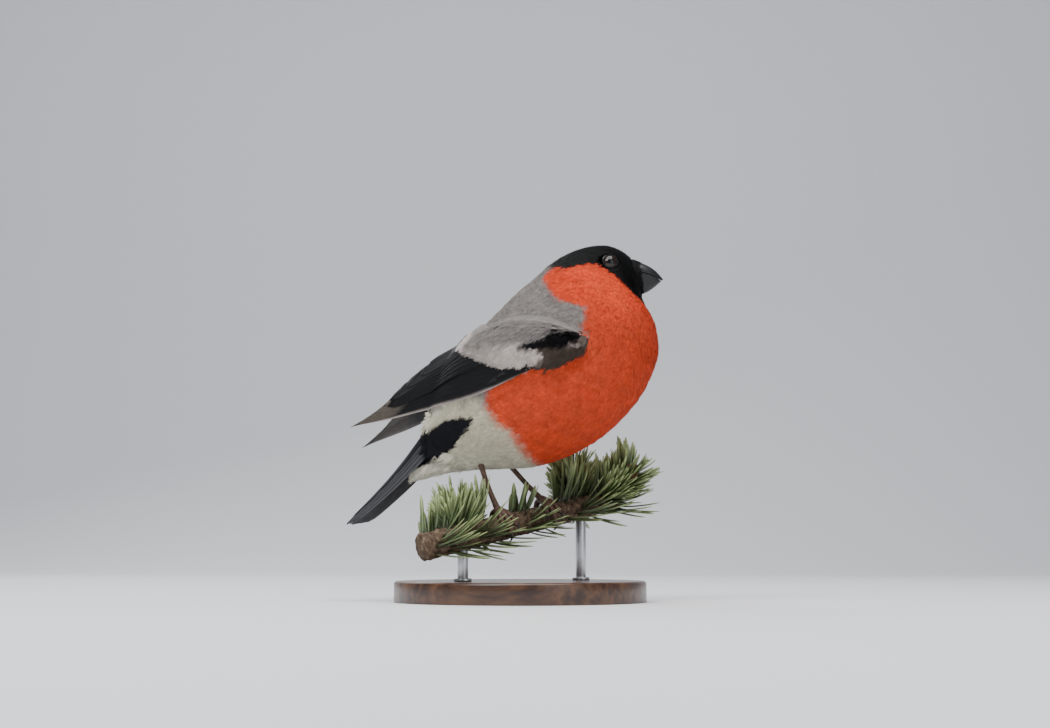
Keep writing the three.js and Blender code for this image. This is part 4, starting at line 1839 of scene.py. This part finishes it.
def joined_tubes(name: str, tubes: Sequence[bmesh.types.BMesh]) -> bpy.types.Object:
    """Several limbs in one object.

    Args:
        name: The object's name.
        tubes: The limbs, which are used up.

    Returns:
        The object.
    """
    work = bmesh.new()
    for limb in tubes:
        part = bpy.data.meshes.new("part")
        limb.to_mesh(part)
        limb.free()
        work.from_mesh(part)
        bpy.data.meshes.remove(part)
    return piece_of(work, name)


@dataclass(frozen=True)
class Toe:
    """One toe: where it lies along the branch at its start and end, how far it wraps, and its thickness."""

    start: float
    end: float
    wrap: float
    thick: float


TOES = (Toe(0, 0.4, -100, 1.1), Toe(0.9, 3.4, 84, 0.9), Toe(0, 0, 112, 1.0), Toe(-0.9, -3.2, 88, 0.9))


@dataclass
class Leg:
    """A bare shank with four toes that grip the branch, and their claws."""

    side: Side
    perch: Perch

    def paths(self, toe: Toe) -> tuple[Array, Array, Array, Array]:
        """The middle lines and radii of a toe and its claw.

        Args:
            toe: The toe.

        Returns:
            The toe's line and radii, then the claw's.
        """
        sign = self.side.value
        at, rest = sign * FOOT_ALONG, PERCH_RADIUS + FOOT_GAP
        radius = 1.05 * toe.thick
        share = np.linspace(0, 1, 44)
        lift = rest + radius + 0.7 * (1 - share) ** 3 - 0.1
        line = self.perch.point(
            at + sign * (toe.start + (toe.end - toe.start) * share), np.radians(toe.wrap) * share, lift
        )
        plates = 0.05 * np.abs(np.sin(share * 9 * math.pi)) ** 0.5
        pads = 0.09 * np.cos(share * 6 * math.pi)
        radii = radius * (1.08 - 0.28 * share) * (1 + plates + pads)
        ahead = np.linspace(0, 1, 16)
        way = math.copysign(1, toe.wrap)
        angle = math.radians(toe.wrap) + way * (ahead * 0.62 - 0.08)
        out = rest + radius * 1.1 + 1.3 * np.sin(ahead * math.pi * 0.62) - 1.2 * ahead**2
        claw = self.perch.point(np.full(16, at + sign * toe.end), angle, out)
        return line, radii, claw, 0.72 + (0.1 - 0.72) * ahead

    def build(self, skin: bpy.types.Material, horn: bpy.types.Material) -> None:
        """Makes the leg and the claws.

        Args:
            skin: The leg's finish.
            horn: The claws'.
        """
        sign = self.side.value
        limbs, claws = [], []
        for toe in TOES:
            line, radii, claw, claw_radii = self.paths(toe)
            limbs.append(tube(line, radii))
            claws.append(tube(claw, claw_radii, 12))
        foot = partial(self.perch.point, sign * FOOT_ALONG, 0.0)
        ankle = foot(PERCH_RADIUS + FOOT_GAP + 1.3)
        heel = np.array([-14.5 + (6 if sign > 0 else 0), sign * 8.6, 51.5 + (1 if sign > 0 else 0)])
        above = heel + unit(heel - ankle) * 2 + np.array([1.5, 0, 1])
        share = np.linspace(0, 1, 90)
        line = ankle + (above - ankle) * share[:, None]
        line[:, 0] -= 0.5 * np.sin(share * math.pi)
        plates = 0.055 * (1 - (share * 11) % 1)
        radii = (0.98 + 0.42 * np.abs(2 * share - 1) ** 3) * (1 + plates)
        limbs.append(tube(line, radii, 20))
        knuckle = bmesh.new()
        place = Matrix.Translation(Vector(foot(PERCH_RADIUS + FOOT_GAP + 1.45) * MM))
        bmesh.ops.create_uvsphere(knuckle, u_segments=24, v_segments=16, radius=1.72 * MM, matrix=place)
        limbs.append(knuckle)
        leg = joined_tubes(f"shank_{self.side.label}", limbs)
        apply_remesh(leg, LEG_VOXEL)
        relax(leg.data, 2)
        points = vertices_of(leg.data)
        paint(leg.data, Tone.LEG.linear * (1 + 0.18 * smooth_noise(points, 3, 9))[:, None])
        show(leg, skin, "leg", f"leg_{self.side.label}")
        show(joined_tubes(f"claws_{self.side.label}", claws), horn, "leg")


@dataclass(frozen=True)
class Shoot:
    """A side shoot: where it leaves the branch, its length and its lean along the branch."""

    at: float
    angle: float
    length: float
    lean: float


SHOOTS = (Shoot(27, -58, 21, 0.45), Shoot(34, 62, 16, 0.8), Shoot(-30, -70, 13, 0.6))


class Branch:
    """The cut branch with bark, side shoots, buds and needles."""

    def __init__(self, perch: Perch) -> None:
        """Keeps the branch's coordinates and starts the random draws."""
        self.perch = perch
        self.rng = np.random.default_rng(SEED + 3)

    def shoot_path(self, shoot: Shoot, steps: int = 40) -> Array:
        """The middle line of a side shoot.

        Args:
            shoot: The shoot.
            steps: The number of points.

        Returns:
            Places in millimetres.
        """
        share = np.linspace(0, 1, steps)
        return self.perch.point(
            shoot.at + shoot.length * shoot.lean * share,
            math.radians(shoot.angle) * (1 - 0.25 * share),
            2 + shoot.length * share * 0.8,
        )

    def wood(self, material: bpy.types.Material) -> None:
        """Makes the branch and its shoots.

        Args:
            material: The bark's finish.
        """
        steps, around = 240, 72
        along = np.linspace(-PERCH_REACH, PERCH_REACH, steps)
        path = self.perch.point(along, 0.0, 0.0)
        turns = np.linspace(0, 2 * math.pi, around, endpoint=False)
        grid_a, grid_t = np.meshgrid(along, turns, indexing="ij")
        flat = np.stack([grid_a.ravel(), 5 * np.cos(grid_t.ravel()), 5 * np.sin(grid_t.ravel())], -1)
        ripple = 0.035 * smooth_noise(flat, 7, 11)
        ripple += 0.03 * smooth_noise(flat, 2.4, 12)
        ripple += 0.018 * smooth_noise(flat, 1.0, 13)
        radii = PERCH_RADIUS - 0.012 * along - 0.42
        limbs = [tube(path, radii, around, ripple.reshape(steps, around))]
        for shoot in SHOOTS:
            line = self.shoot_path(shoot, 60)
            knobs = 0.12 * smooth_noise(line, 2.5, 15)
            limbs.append(tube(line, (2.15 - 0.5 * np.linspace(0, 1, 60)) * (1 + knobs), 28))
        show(joined_tubes("branch_wood", limbs), material, "bark", "stand_perch")

    def buds(self, material: bpy.types.Material) -> None:
        """Makes a cluster of scaly buds at the end of each shoot.

        Args:
            material: The buds' finish.
        """
        scales = []
        for shoot in SHOOTS:
            line = self.shoot_path(shoot)
            ahead = unit(line[-1] - line[-4])
            beside = unit(np.cross(ahead, self.perch.up))
            other = np.cross(ahead, beside)
            centres = [(line[-1] + ahead * 1.0, ahead, 2.4)]
            for k in range(4):
                turn = math.pi / 2 * k + 0.5
                off = beside * math.cos(turn) + other * math.sin(turn)
                centres.append((line[-1] + off * 2.3 - ahead * 0.6, unit(ahead + off * 0.5), 1.75))
            for centre, way, radius in centres:
                scales += self.bud(centre, way, radius)
        made = joined_tubes("branch_buds", scales)
        points = vertices_of(made.data)
        paint(made.data, Tone.BUD.linear * (1 + 0.25 * smooth_noise(points, 1.6, 17))[:, None])
        show(made, material, "bark")

    def bud(self, centre: Array, way: Array, radius: float) -> list[bmesh.types.BMesh]:
        """One bud: an egg under overlapping scales.

        Args:
            centre: Its middle.
            way: The way it points.
            radius: Its radius.

        Returns:
            The egg and its scales.
        """
        spin = Vector(way).to_track_quat("Z", "Y").to_matrix().to_4x4()
        place = Matrix.Translation(Vector(centre) * MM) @ spin @ Matrix.Diagonal((1, 1, 1.3, 1))
        egg = bmesh.new()
        bmesh.ops.create_uvsphere(egg, u_segments=20, v_segments=14, radius=radius * 0.93 * MM, matrix=place)
        parts = [egg]
        for row in range(4):
            for k in range(5):
                turn = 2 * math.pi * (k + 0.5 * row) / 5
                scale = bmesh.new()
                bmesh.ops.create_grid(scale, x_segments=4, y_segments=4, size=1.0)
                for vertex in scale.verts:
                    x, y = vertex.co.x, vertex.co.y
                    narrow = (1 - max(0.0, y)) ** 0.6 if y > 0 else 1
                    theta = turn + 0.62 * x * narrow
                    phi = max(0.5 + 0.55 * row - 0.42 * (y + 0.4), 0.06)
                    reach = radius * (1.0 + 0.05 * (1 - y) - 0.05 * x * x) * MM
                    side, high = reach * math.sin(phi), reach * math.cos(phi)
                    vertex.co = place @ Vector((side * math.cos(theta), side * math.sin(theta), high))
                bmesh.ops.solidify(scale, geom=list(scale.faces), thickness=0.06 * MM)
                if scale.calc_volume(signed=True) < 0:
                    bmesh.ops.reverse_faces(scale, faces=scale.faces)
                parts.append(scale)
        return parts

    def needles(self, material: bpy.types.Material) -> None:
        """Makes all needles as flat, slightly curved blades with blunt tips.

        Args:
            material: The needles' finish.
        """
        roots, ways, lengths = [], [], []
        rng = self.rng
        for along in np.arange(-PERCH_REACH + 2, PERCH_REACH - 1, 0.5):
            near_foot = min(abs(along - FOOT_ALONG), abs(along + FOOT_ALONG)) < 6.2
            for angle in rng.uniform(-2.5, 2.5, 2):
                if near_foot and abs(angle) < 2.3:
                    continue
                between = abs(along) < FOOT_ALONG
                out = self.perch.point(along, angle, 1.0) - self.perch.point(along, 0.0, 0.0)
                lean = 0.75 * self.perch.along + 0.35 * self.perch.up
                roots.append(self.perch.point(along, angle, PERCH_RADIUS - 0.6))
                ways.append(unit(out + lean + rng.normal(0, 0.12, 3)))
                lengths.append(rng.uniform(9, 13) if between else rng.uniform(13, 18))
        for shoot in SHOOTS:
            line = self.shoot_path(shoot, 90)
            for k in range(14, 90):
                ahead = unit(line[min(k + 1, 89)] - line[k - 1])
                for _ in range(3):
                    off = rng.normal(size=3)
                    off = unit(off - ahead * (off @ ahead))
                    roots.append(line[k] + off * 1.6)
                    ways.append(unit(off + ahead * 0.85 + self.perch.up * 0.25))
                    lengths.append(rng.uniform(10, 15))
        blades = self.blades(np.array(roots), np.array(ways), np.array(lengths))
        show(linked("branch_needles", blades.mesh("branch_needles")), material, "bark")

    def blades(self, roots: Array, ways: Array, lengths: Array) -> MeshData:
        """Needles as one mesh.

        Args:
            roots: Where each starts.
            ways: The way each points.
            lengths: Their lengths.

        Returns:
            The mesh with colours.
        """
        count, steps = len(roots), 8
        share = np.linspace(0, 1, steps)
        flat = unit(np.cross(ways, self.perch.up + self.rng.normal(0, 0.25, (count, 3))))
        high = unit(np.cross(flat, ways))
        high *= np.sign(high @ self.perch.up)[:, None]
        flat = unit(np.cross(ways, high))
        curl = self.rng.uniform(0.06, 0.16, count) * lengths
        middle = roots[:, None] + ways[:, None] * (share * lengths[:, None])[..., None]
        middle = middle + high[:, None] * (curl[:, None] * share**2)[..., None]
        half = 0.86 * np.minimum(1, 0.55 + share * 1.8) * np.sqrt(np.maximum(1 - share**8, 0.08))
        thick = 0.36 * half
        ring = np.stack(
            [
                middle + flat[:, None] * half[:, None],
                middle + high[:, None] * (thick[:, None] + 0.02),
                middle - flat[:, None] * half[:, None],
                middle - high[:, None] * thick[:, None],
            ],
            axis=2,
        )
        index = np.arange(steps * 4).reshape(steps, 4)
        quads = []
        for k in range(4):
            after = (k + 1) % 4
            quads.append(np.stack([index[:-1, k], index[:-1, after], index[1:, after], index[1:, k]], -1))
        quads = np.concatenate([*quads, [index[0, ::-1]], [index[-1]]])[:, ::-1]
        faces = (quads[None] + (np.arange(count) * steps * 4)[:, None, None]).reshape(-1, 4)
        tone = blend(Tone.NEEDLE_ROOT.linear, Tone.NEEDLE.linear, smoothstep(0, 0.35, share))
        tone = blend(tone, Tone.NEEDLE_TIP.linear, smoothstep(0.45, 1, share) * 0.8)
        tones = tone[None, :, None] * self.rng.uniform(0.75, 1.2, (count, 1, 1, 1)) * np.ones((1, 1, 4, 1))
        return MeshData(ring.reshape(-1, 3), [faces], tones.reshape(-1, 3))


def drum(
    work: bmesh.types.BMesh, radius: float, span: tuple[float, float], at: Sequence[float], sides: int
) -> list[bmesh.types.BMEdge]:
    """Adds an upright cylinder.

    Args:
        work: What it is added to.
        radius: Its radius.
        span: The heights of its ends.
        at: The x and y of its middle.
        sides: The number of its sides.

    Returns:
        The edges round its two ends.
    """
    made = bmesh.ops.create_cone(
        work,
        cap_ends=True,
        segments=sides,
        radius1=radius * MM,
        radius2=radius * MM,
        depth=(span[1] - span[0]) * MM,
        matrix=Matrix.Translation(Vector((at[0], at[1], (span[0] + span[1]) / 2)) * MM),
    )
    edges = dict.fromkeys(edge for vertex in made["verts"] for edge in vertex.link_edges)
    return [edge for edge in edges if any(len(face.verts) > 4 for face in edge.link_faces)]


def soften(work: bmesh.types.BMesh, edges: list[bmesh.types.BMEdge], size: float, steps: int) -> None:
    """Rounds edges off to a size in millimetres, in steps."""
    shape = {"offset": size * MM, "segments": steps, "profile": 0.5, "affect": "EDGES", "material": -1}
    bmesh.ops.bevel(work, geom=edges, **shape)


@dataclass(frozen=True)
class Stand:
    """The round wooden base and the two steel rods."""

    perch: Perch

    def base(self, material: bpy.types.Material) -> None:
        """Makes the base.

        Args:
            material: Its finish.
        """
        work = bmesh.new()
        ends = drum(work, BASE_RADIUS, (0.0, BASE_HEIGHT), (0, 0), 160)
        upper = [edge for edge in ends if edge.verts[0].co.z > BASE_HEIGHT / 2 * MM]
        lower = [edge for edge in ends if edge not in upper]
        soften(work, upper, 1.2, 5)
        soften(work, lower, 0.4, 2)
        self.put("base_disc", work, material, "base_wood", "stand_base")

    def rods(self, material: bpy.types.Material) -> None:
        """Makes the rods, each with a small collar where it meets the base.

        Args:
            material: Their finish.
        """
        for number, along in enumerate(ROD_PLACES, 1):
            top = self.perch.point(along, 0.0, 0.0)
            work = bmesh.new()
            for radius, high in ((ROD_RADIUS, top[2] - 2), (COLLAR_RADIUS, BASE_HEIGHT + COLLAR_HEIGHT)):
                soften(work, drum(work, radius, (BASE_HEIGHT, high), top[:2], 40), 0.3, 3)
            self.put(f"rod_{number}", work, material, "rod", f"stand_rod_{number}")

    def put(
        self, name: str, work: bmesh.types.BMesh, material: bpy.types.Material, slot: str, stands_for: str
    ) -> None:
        """Turns a finished bmesh into a riding piece.

        Args:
            name: The piece's name.
            work: The bmesh, which is used up.
            material: The finish.
            slot: The record's material slot.
            stands_for: The solid that it takes the place of.
        """
        made = show(piece_of(work, name), material, slot, stands_for)
        for face in made.data.polygons:
            face.use_smooth = len(face.vertices) <= 4


class Plumage:
    """The small feathers over the skin and shoulders."""

    def __init__(self, body: Body, markings: Markings, wings: dict[Side, WingShape]) -> None:
        """Keeps the surfaces and works out where the wings and the eyes lie.

        Args:
            body: The trunk, neck and head.
            markings: The plumage's colours.
            wings: Each side's folded wing.
        """
        self.body = body
        self.markings = markings
        self.wings = wings
        self.trees = {side: self.tree(wing) for side, wing in wings.items()}
        self.eyes = [np.array(Eye(side).centre) for side in Side]
        self.gazes = [np.array(Eye(side).gaze) for side in Side]

    def tree(self, wing: WingShape) -> KDTree:
        """A search tree over a wing's padded surface."""
        along, up = (g.ravel() for g in wing.grid)
        return search_tree(wing.point(along, up, wing.pad_height(along, up)))

    def on_wing(self, places: Array) -> tuple[Array, Array, Array]:
        """Where places lie on the nearer wing.

        Args:
            places: Places in millimetres.

        Returns:
            Shares along and up the wing, and the distance from it.
        """
        found = np.zeros((3, len(places)))
        for i, place in enumerate(places):
            side = Side.LEFT if place[1] > 0 else Side.RIGHT
            _, index, distance = self.trees[side].find(place)
            grid = self.wings[side].grid
            found[:, i] = grid[0].ravel()[index], grid[1].ravel()[index], distance
        return found[0], found[1], found[2]

    def near_eye(self, places: Array) -> Array:
        """How far places lie from the nearer eye's middle, in millimetres."""
        return np.min([np.linalg.norm(places - eye, axis=1) for eye in self.eyes], axis=0)

    def off_eyes(self, places: Array) -> list[tuple[Array, Array]]:
        """How far places lie from each eye.

        Args:
            places: Places in millimetres.

        Returns:
            For each eye the distances along its gaze and aside from it.
        """
        found = []
        for eye, gaze in zip(self.eyes, self.gazes):
            off = places - eye
            out = off @ gaze
            found.append((out, np.linalg.norm(off - out[:, None] * gaze, axis=1)))
        return found

    def spacing(self, places: Array) -> Array:
        """The distance between feathers: least on the face.

        Args:
            places: Places in millimetres.

        Returns:
            Distances in millimetres.
        """
        station, _, _ = self.body.locate(places)
        gap = 0.68 - 0.22 * smoothstep(8.5, 12, station)
        return gap - 0.1 * smoothstep(9, 4, self.near_eye(places))

    def wing_tones(self, along: Array, up: Array) -> Array:
        """The shoulder's colours.

        Args:
            along: Shares along the wing.
            up: Shares up the wing.

        Returns:
            Linear colours.
        """
        place = np.stack([along * 100, up * 22, along * 0], -1)
        wander = 0.025 * smooth_noise(place, 5, 21)
        line, patch = along_line(SHOULDER_LINE, along), along_line(PATCH_LINE, along)
        dark, brown, pale, grey = (tone.linear for tone in (Tone.BLACK, Tone.BROWN, Tone.BAR, Tone.GREY))
        streak = np.exp(-(((up - 0.1 - 1.6 * along) / 0.03) ** 2)) * smoothstep(0.13, 0.1, along)
        brown = blend(brown, pale, 0.6 * streak * smoothstep(0.02, 0.05, along))
        pale = blend(pale, grey, 0.6 * smoothstep(0.28, 0.46, along))
        is_pale = smoothstep(0.185, 0.205, along + 0.3 * wander) * smoothstep(0.05, 0.12, up)
        lower = blend(brown, pale, is_pale)
        is_dark = smoothstep(-0.02, 0.03, up - patch + wander) * smoothstep(0.27, 0.235, along + wander)
        lower = blend(lower, dark, is_dark)
        return blend(lower, grey, smoothstep(-0.04, 0.05, up - line + wander))

    def colours(self, places: Array) -> Array:
        """The colour of small feathers anywhere on the bird.

        Args:
            places: Places in millimetres.

        Returns:
            Linear colours.
        """
        tones = self.markings.colours(places)
        along, up, distance = self.on_wing(places)
        edge = along_line(SOFT_LINE, along)
        over = (distance < 1.9) & (along > 0.03) & (along < 0.6)
        over &= (up > np.maximum(edge - 0.05, -0.06)) & (up < 0.97)
        under = (distance < 2.2) & (along > 0.18) & (up < edge - 0.05) & (up > 0.08)
        tones = np.where(over[:, None], self.wing_tones(along, up), tones)
        return np.where(under[:, None], Tone.BLACK.linear, tones)

    def roots(self, skin: bpy.types.Object) -> Roots:
        """Where the small feathers grow.

        Args:
            skin: The finished skin.

        Returns:
            The roots.
        """
        places, normals = scatter(skin.data, self.spacing, SEED)
        station, turn, _ = self.body.straighten(places)
        _, _, ratio = self.body.locate(places)
        along, up, distance = self.on_wing(places)
        edge = along_line(SOFT_LINE, along)
        on_pad = (distance < 2.2) & (along < 0.57) & (up > -0.05) & (up < 0.97)
        bare = (distance < 2.6) & (along > 0.18) & (up > 0.03) & (up < edge + 0.015)
        hidden = (distance < 3.5) & (along >= 0.57) & (up > 0.1) & (up < 0.9)
        notch = (ratio < 0.86) & (station < 5)
        keep = ~bare & ~hidden & ~notch & (station < 14.9)
        for out, aside in self.off_eyes(places):
            keep &= ~((aside < 3.3) & (out > -3))
        tail = np.array([TAIL_ROOT[0], 0, TAIL_ROOT[1]])
        behind = (places - tail) @ Tail.along_way
        under = (places - tail) @ Tail.up_way
        covered = (behind > 6) & (under > -11) & (under < -1) & (np.abs(places[:, 1]) < 7)
        keep &= ~(covered & (normals @ Tail.up_way > 0.3))
        lies = self.body.lie(station, normals)
        rng = np.random.default_rng(SEED + 5)
        beside = np.cross(normals, lies)
        lies = unit(lies + beside * rng.normal(0, 0.1, (len(places), 1)))
        head = smoothstep(HEAD_START, HEAD_FULL, station)
        face = np.clip(smoothstep(9, 4, self.near_eye(places)) + smoothstep(13.6, 14.6, station), 0, 1)
        lengths = 4.8 - 2.2 * head - 1.0 * face
        lengths = lengths * rng.uniform(0.85, 1.15, len(places))
        widths = 1.9 - 0.75 * head - 0.4 * face
        lifts = 1.1 - 0.4 * head - 0.2 * face + rng.uniform(0, 0.15, len(places))
        scapular = on_pad & (up > edge) & (along > 0.12)
        lengths = np.where(scapular, 6.0, lengths)
        widths = np.where(scapular, 2.4, widths)
        lifts = np.where(scapular, 1.0, lifts)
        wrist = (distance < 4.5) & (along < 0.035) & (places[:, 0] > 20)
        lengths = np.where(wrist, lengths + 2.0, lengths)
        lifts = np.where(wrist, 1.3, lifts)
        rear = smoothstep(5, 3, station)
        lengths = lengths + 1.2 * rear
        lifts = lifts - 0.35 * rear
        sheltered = smoothstep(6.5, 5, station) * smoothstep(1.75, 1.45, np.abs(turn))
        lengths = lengths * (1 - 0.35 * sheltered)
        lifts = lifts * (1 - 0.7 * sheltered)
        for out, aside in self.off_eyes(places + lies * lengths[:, None]):
            over = smoothstep(3.7, 2.9, aside) * smoothstep(-3, -1, out)
            lengths = lengths * (1 - 0.6 * over)
            lifts = lifts * (1 - over)
        bends = np.where(station > 10, 13.0, 24.0)
        unwraps = np.stack([station / LAST_RING, turn / (2 * math.pi) + 0.5], -1) * 0.96 + 0.02
        made = Roots(places - normals * 0.12, normals, lies, lengths, widths, lifts, bends, unwraps)
        return made.pick(keep)

    def bristles(self) -> Roots:
        """Short stiff feathers round the bill's base, over the nostrils.

        Returns:
            The roots.
        """
        rng = np.random.default_rng(SEED + 6)
        count = 1600
        turn = rng.uniform(0, 2 * math.pi, count)
        back = rng.uniform(0, 1, count)
        side, rise = np.sin(turn), np.cos(turn)
        x = 45.4 - 2.6 * back + 0.6 * (1 - rise)
        y = side * (4.8 + 1.7 * back)
        z = 123.5 + rise * (6.5 + 1.0 * back)
        out = unit(np.stack([np.full(count, 0.25), side, rise], -1))
        way = unit(np.stack([np.full(count, 1.0), -side * 0.15, -rise * 0.15 - 0.05], -1))
        spin = np.array(Matrix.Rotation(HEAD_TURN, 3, "Z"))
        places = np.array([head_point((a, b, c)) for a, b, c in zip(x, y, z)])
        out, way = out @ spin.T, way @ spin.T
        way = unit(way - out * (way * out).sum(1, keepdims=True))
        ones = np.ones(count)
        unwraps = np.stack([np.full(count, 0.985), 0.02 + 0.96 * turn / (2 * math.pi)], -1)
        lengths = 1.9 * rng.uniform(0.7, 1.2, count)
        return Roots(places - out * 0.3, out, way, lengths, 0.6 * ones, 0.5 * ones, 8 * ones, unwraps)


class Studio:
    """The floor, the lights and the camera."""

    def floor(self) -> None:
        """Makes a pale floor that curves up into the backdrop."""
        work = bmesh.new()
        bmesh.ops.create_grid(work, x_segments=2, y_segments=60, size=2.2)
        for vertex in work.verts:
            run = vertex.co.y - CURVE_FROM
            if run > 0:
                angle = min(run / CURVE_RADIUS, math.pi / 2)
                above = max(0.0, run - CURVE_RADIUS * math.pi / 2)
                vertex.co.y = CURVE_FROM + CURVE_RADIUS * math.sin(angle)
                vertex.co.z = CURVE_RADIUS * (1 - math.cos(angle)) + above
        work.transform(Matrix.Rotation(VIEW_TURN, 4, "Z"))
        made = piece_of(work, "floor")
        nodes = Nodes("floor")
        nodes.shader.inputs["Base Color"].default_value = (0.8, 0.81, 0.83, 1)
        nodes.shader.inputs["Roughness"].default_value = 0.9
        made.data.materials.append(nodes.material)
        made.data.shade_smooth()

    def lights(self) -> None:
        """Makes a large soft light above, a key from the front left and a weak fill."""
        for name, place, size, power in (
            ("above", (0.1, -0.2, 0.95), 0.9, 12.0),
            ("key", (-0.3, -0.7, 0.75), 0.5, 5.0),
            ("fill", (0.75, -0.55, 0.3), 0.6, 1.4),
            ("rim", (-0.5, 0.55, 0.6), 0.5, 3.0),
        ):
            lamp = bpy.data.lights.new(name, "AREA")
            lamp.size = size
            lamp.energy = power
            made = linked(name, lamp)
            made.location = place
            aim = Vector((0, 0, 0.08)) - Vector(place)
            made.rotation_euler = aim.to_track_quat("-Z", "Y").to_euler()
        world = bpy.data.worlds.new("studio")
        world.use_nodes = True
        sky = world.node_tree.nodes["Background"]
        sky.inputs["Color"].default_value = (0.86, 0.9, 1.0, 1)
        sky.inputs["Strength"].default_value = 0.3
        bpy.context.scene.world = world

    def camera(self) -> None:
        """Makes the camera at the photograph's angle, a little below the bird and above the floor."""
        aim = Vector(VIEW_AIM) * MM
        level = math.cos(VIEW_LOWER)
        back = Vector((math.sin(VIEW_TURN) * level, -math.cos(VIEW_TURN) * level, -math.sin(VIEW_LOWER)))
        lens = bpy.data.cameras.new("camera")
        lens.sensor_width = SENSOR
        lens.lens = SENSOR * VIEW_DISTANCE / FRAME_WIDTH
        lens.clip_start = 0.01
        made = linked("camera", lens)
        made.location = aim + back * VIEW_DISTANCE
        made.rotation_euler = (aim - made.location).to_track_quat("-Z", "Y").to_euler()
        bpy.context.scene.camera = made


def main() -> None:
    """Builds the bird, the branch and the stand in order."""
    logging.basicConfig(level=logging.INFO, format="%(message)s")
    for leftover in list(bpy.data.objects):
        bpy.data.objects.remove(leftover)
    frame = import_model()
    plumage_finish = PlumageFinish("plumage", roughness=0.85, specular=0.12).build()
    cap_finish = PlumageFinish("cap_plumage", roughness=0.6, specular=0.14).build()
    vane_finish = VaneFinish("flight_vanes", roughness=0.5, specular=0.22).build()
    body = Body()
    markings = Markings(body)
    wings = {side: WingShape(body, side) for side in Side}
    skin = Skin(markings, frame, [wing.pad() for wing in wings.values()]).build(plumage_finish)
    log.info("skin: %d faces", len(skin.data.polygons))
    plumage = Plumage(body, markings, wings)
    roots = plumage.roots(skin)
    log.info("small feathers: %d", len(roots.places))
    tones = plumage.colours(roots.places + roots.lies * roots.lengths[:, None] * 0.75)
    black_cap = (tones.max(1) < CAP_DARK) & (roots.unwraps[:, 0] > CAP_FROM)
    coat = Coat(plumage.colours, Tuft(5), SEED)
    coat.pieces("coat_body", roots.pick(~black_cap), plumage_finish, "feathers")
    coat.pieces("coat_cap", roots.pick(black_cap), cap_finish, "cap_feathers")
    stiff = Coat(lambda places: Tone.CAP.linear, Tuft(3), SEED + 1)
    stiff.pieces("bristles", plumage.bristles(), cap_finish, "cap_feathers")
    for side in Side:
        Wing(wings[side]).build(vane_finish)
    Tail().build(vane_finish)
    log.info("wings and tail made")
    eye_finish = Finish("eye_wet", roughness=0.06, specular=0.5).build()
    lid_finish = Finish("lid_skin", roughness=0.7, specular=0.2).build()
    for side in Side:
        Eye(side).build(eye_finish, lid_finish)
    Bill(frame).build(HornFinish("bill_horn", roughness=0.36, specular=0.42, tone=Tone.BILL).build())
    log.info("eyes and bill made")
    perch = Perch()
    leg_finish = ScaleFinish("leg_scales", roughness=0.5, specular=0.45).build()
    claw_finish = HornFinish("claw_horn", roughness=0.32, specular=0.5, tone=Tone.CLAW).build()
    for side in Side:
        Leg(side, perch).build(leg_finish, claw_finish)
    log.info("legs made")
    branch = Branch(perch)
    branch.wood(BarkFinish("bark", roughness=0.9, specular=0.25).build())
    branch.buds(Finish("bud_scales", roughness=0.45, specular=0.5).build())
    branch.needles(Finish("needles", roughness=0.38, specular=0.5).build())
    log.info("branch made")
    stand = Stand(perch)
    stand.base(WoodFinish("base_wood", roughness=0.32, specular=0.5, coat=0.2).build())
    stand.rods(SteelFinish("rod_steel", roughness=0.3, metallic=1.0).build())
    studio = Studio()
    studio.floor()
    studio.lights()
    studio.camera()
    log.info("stage set")


if __name__ == "__main__":
    main()
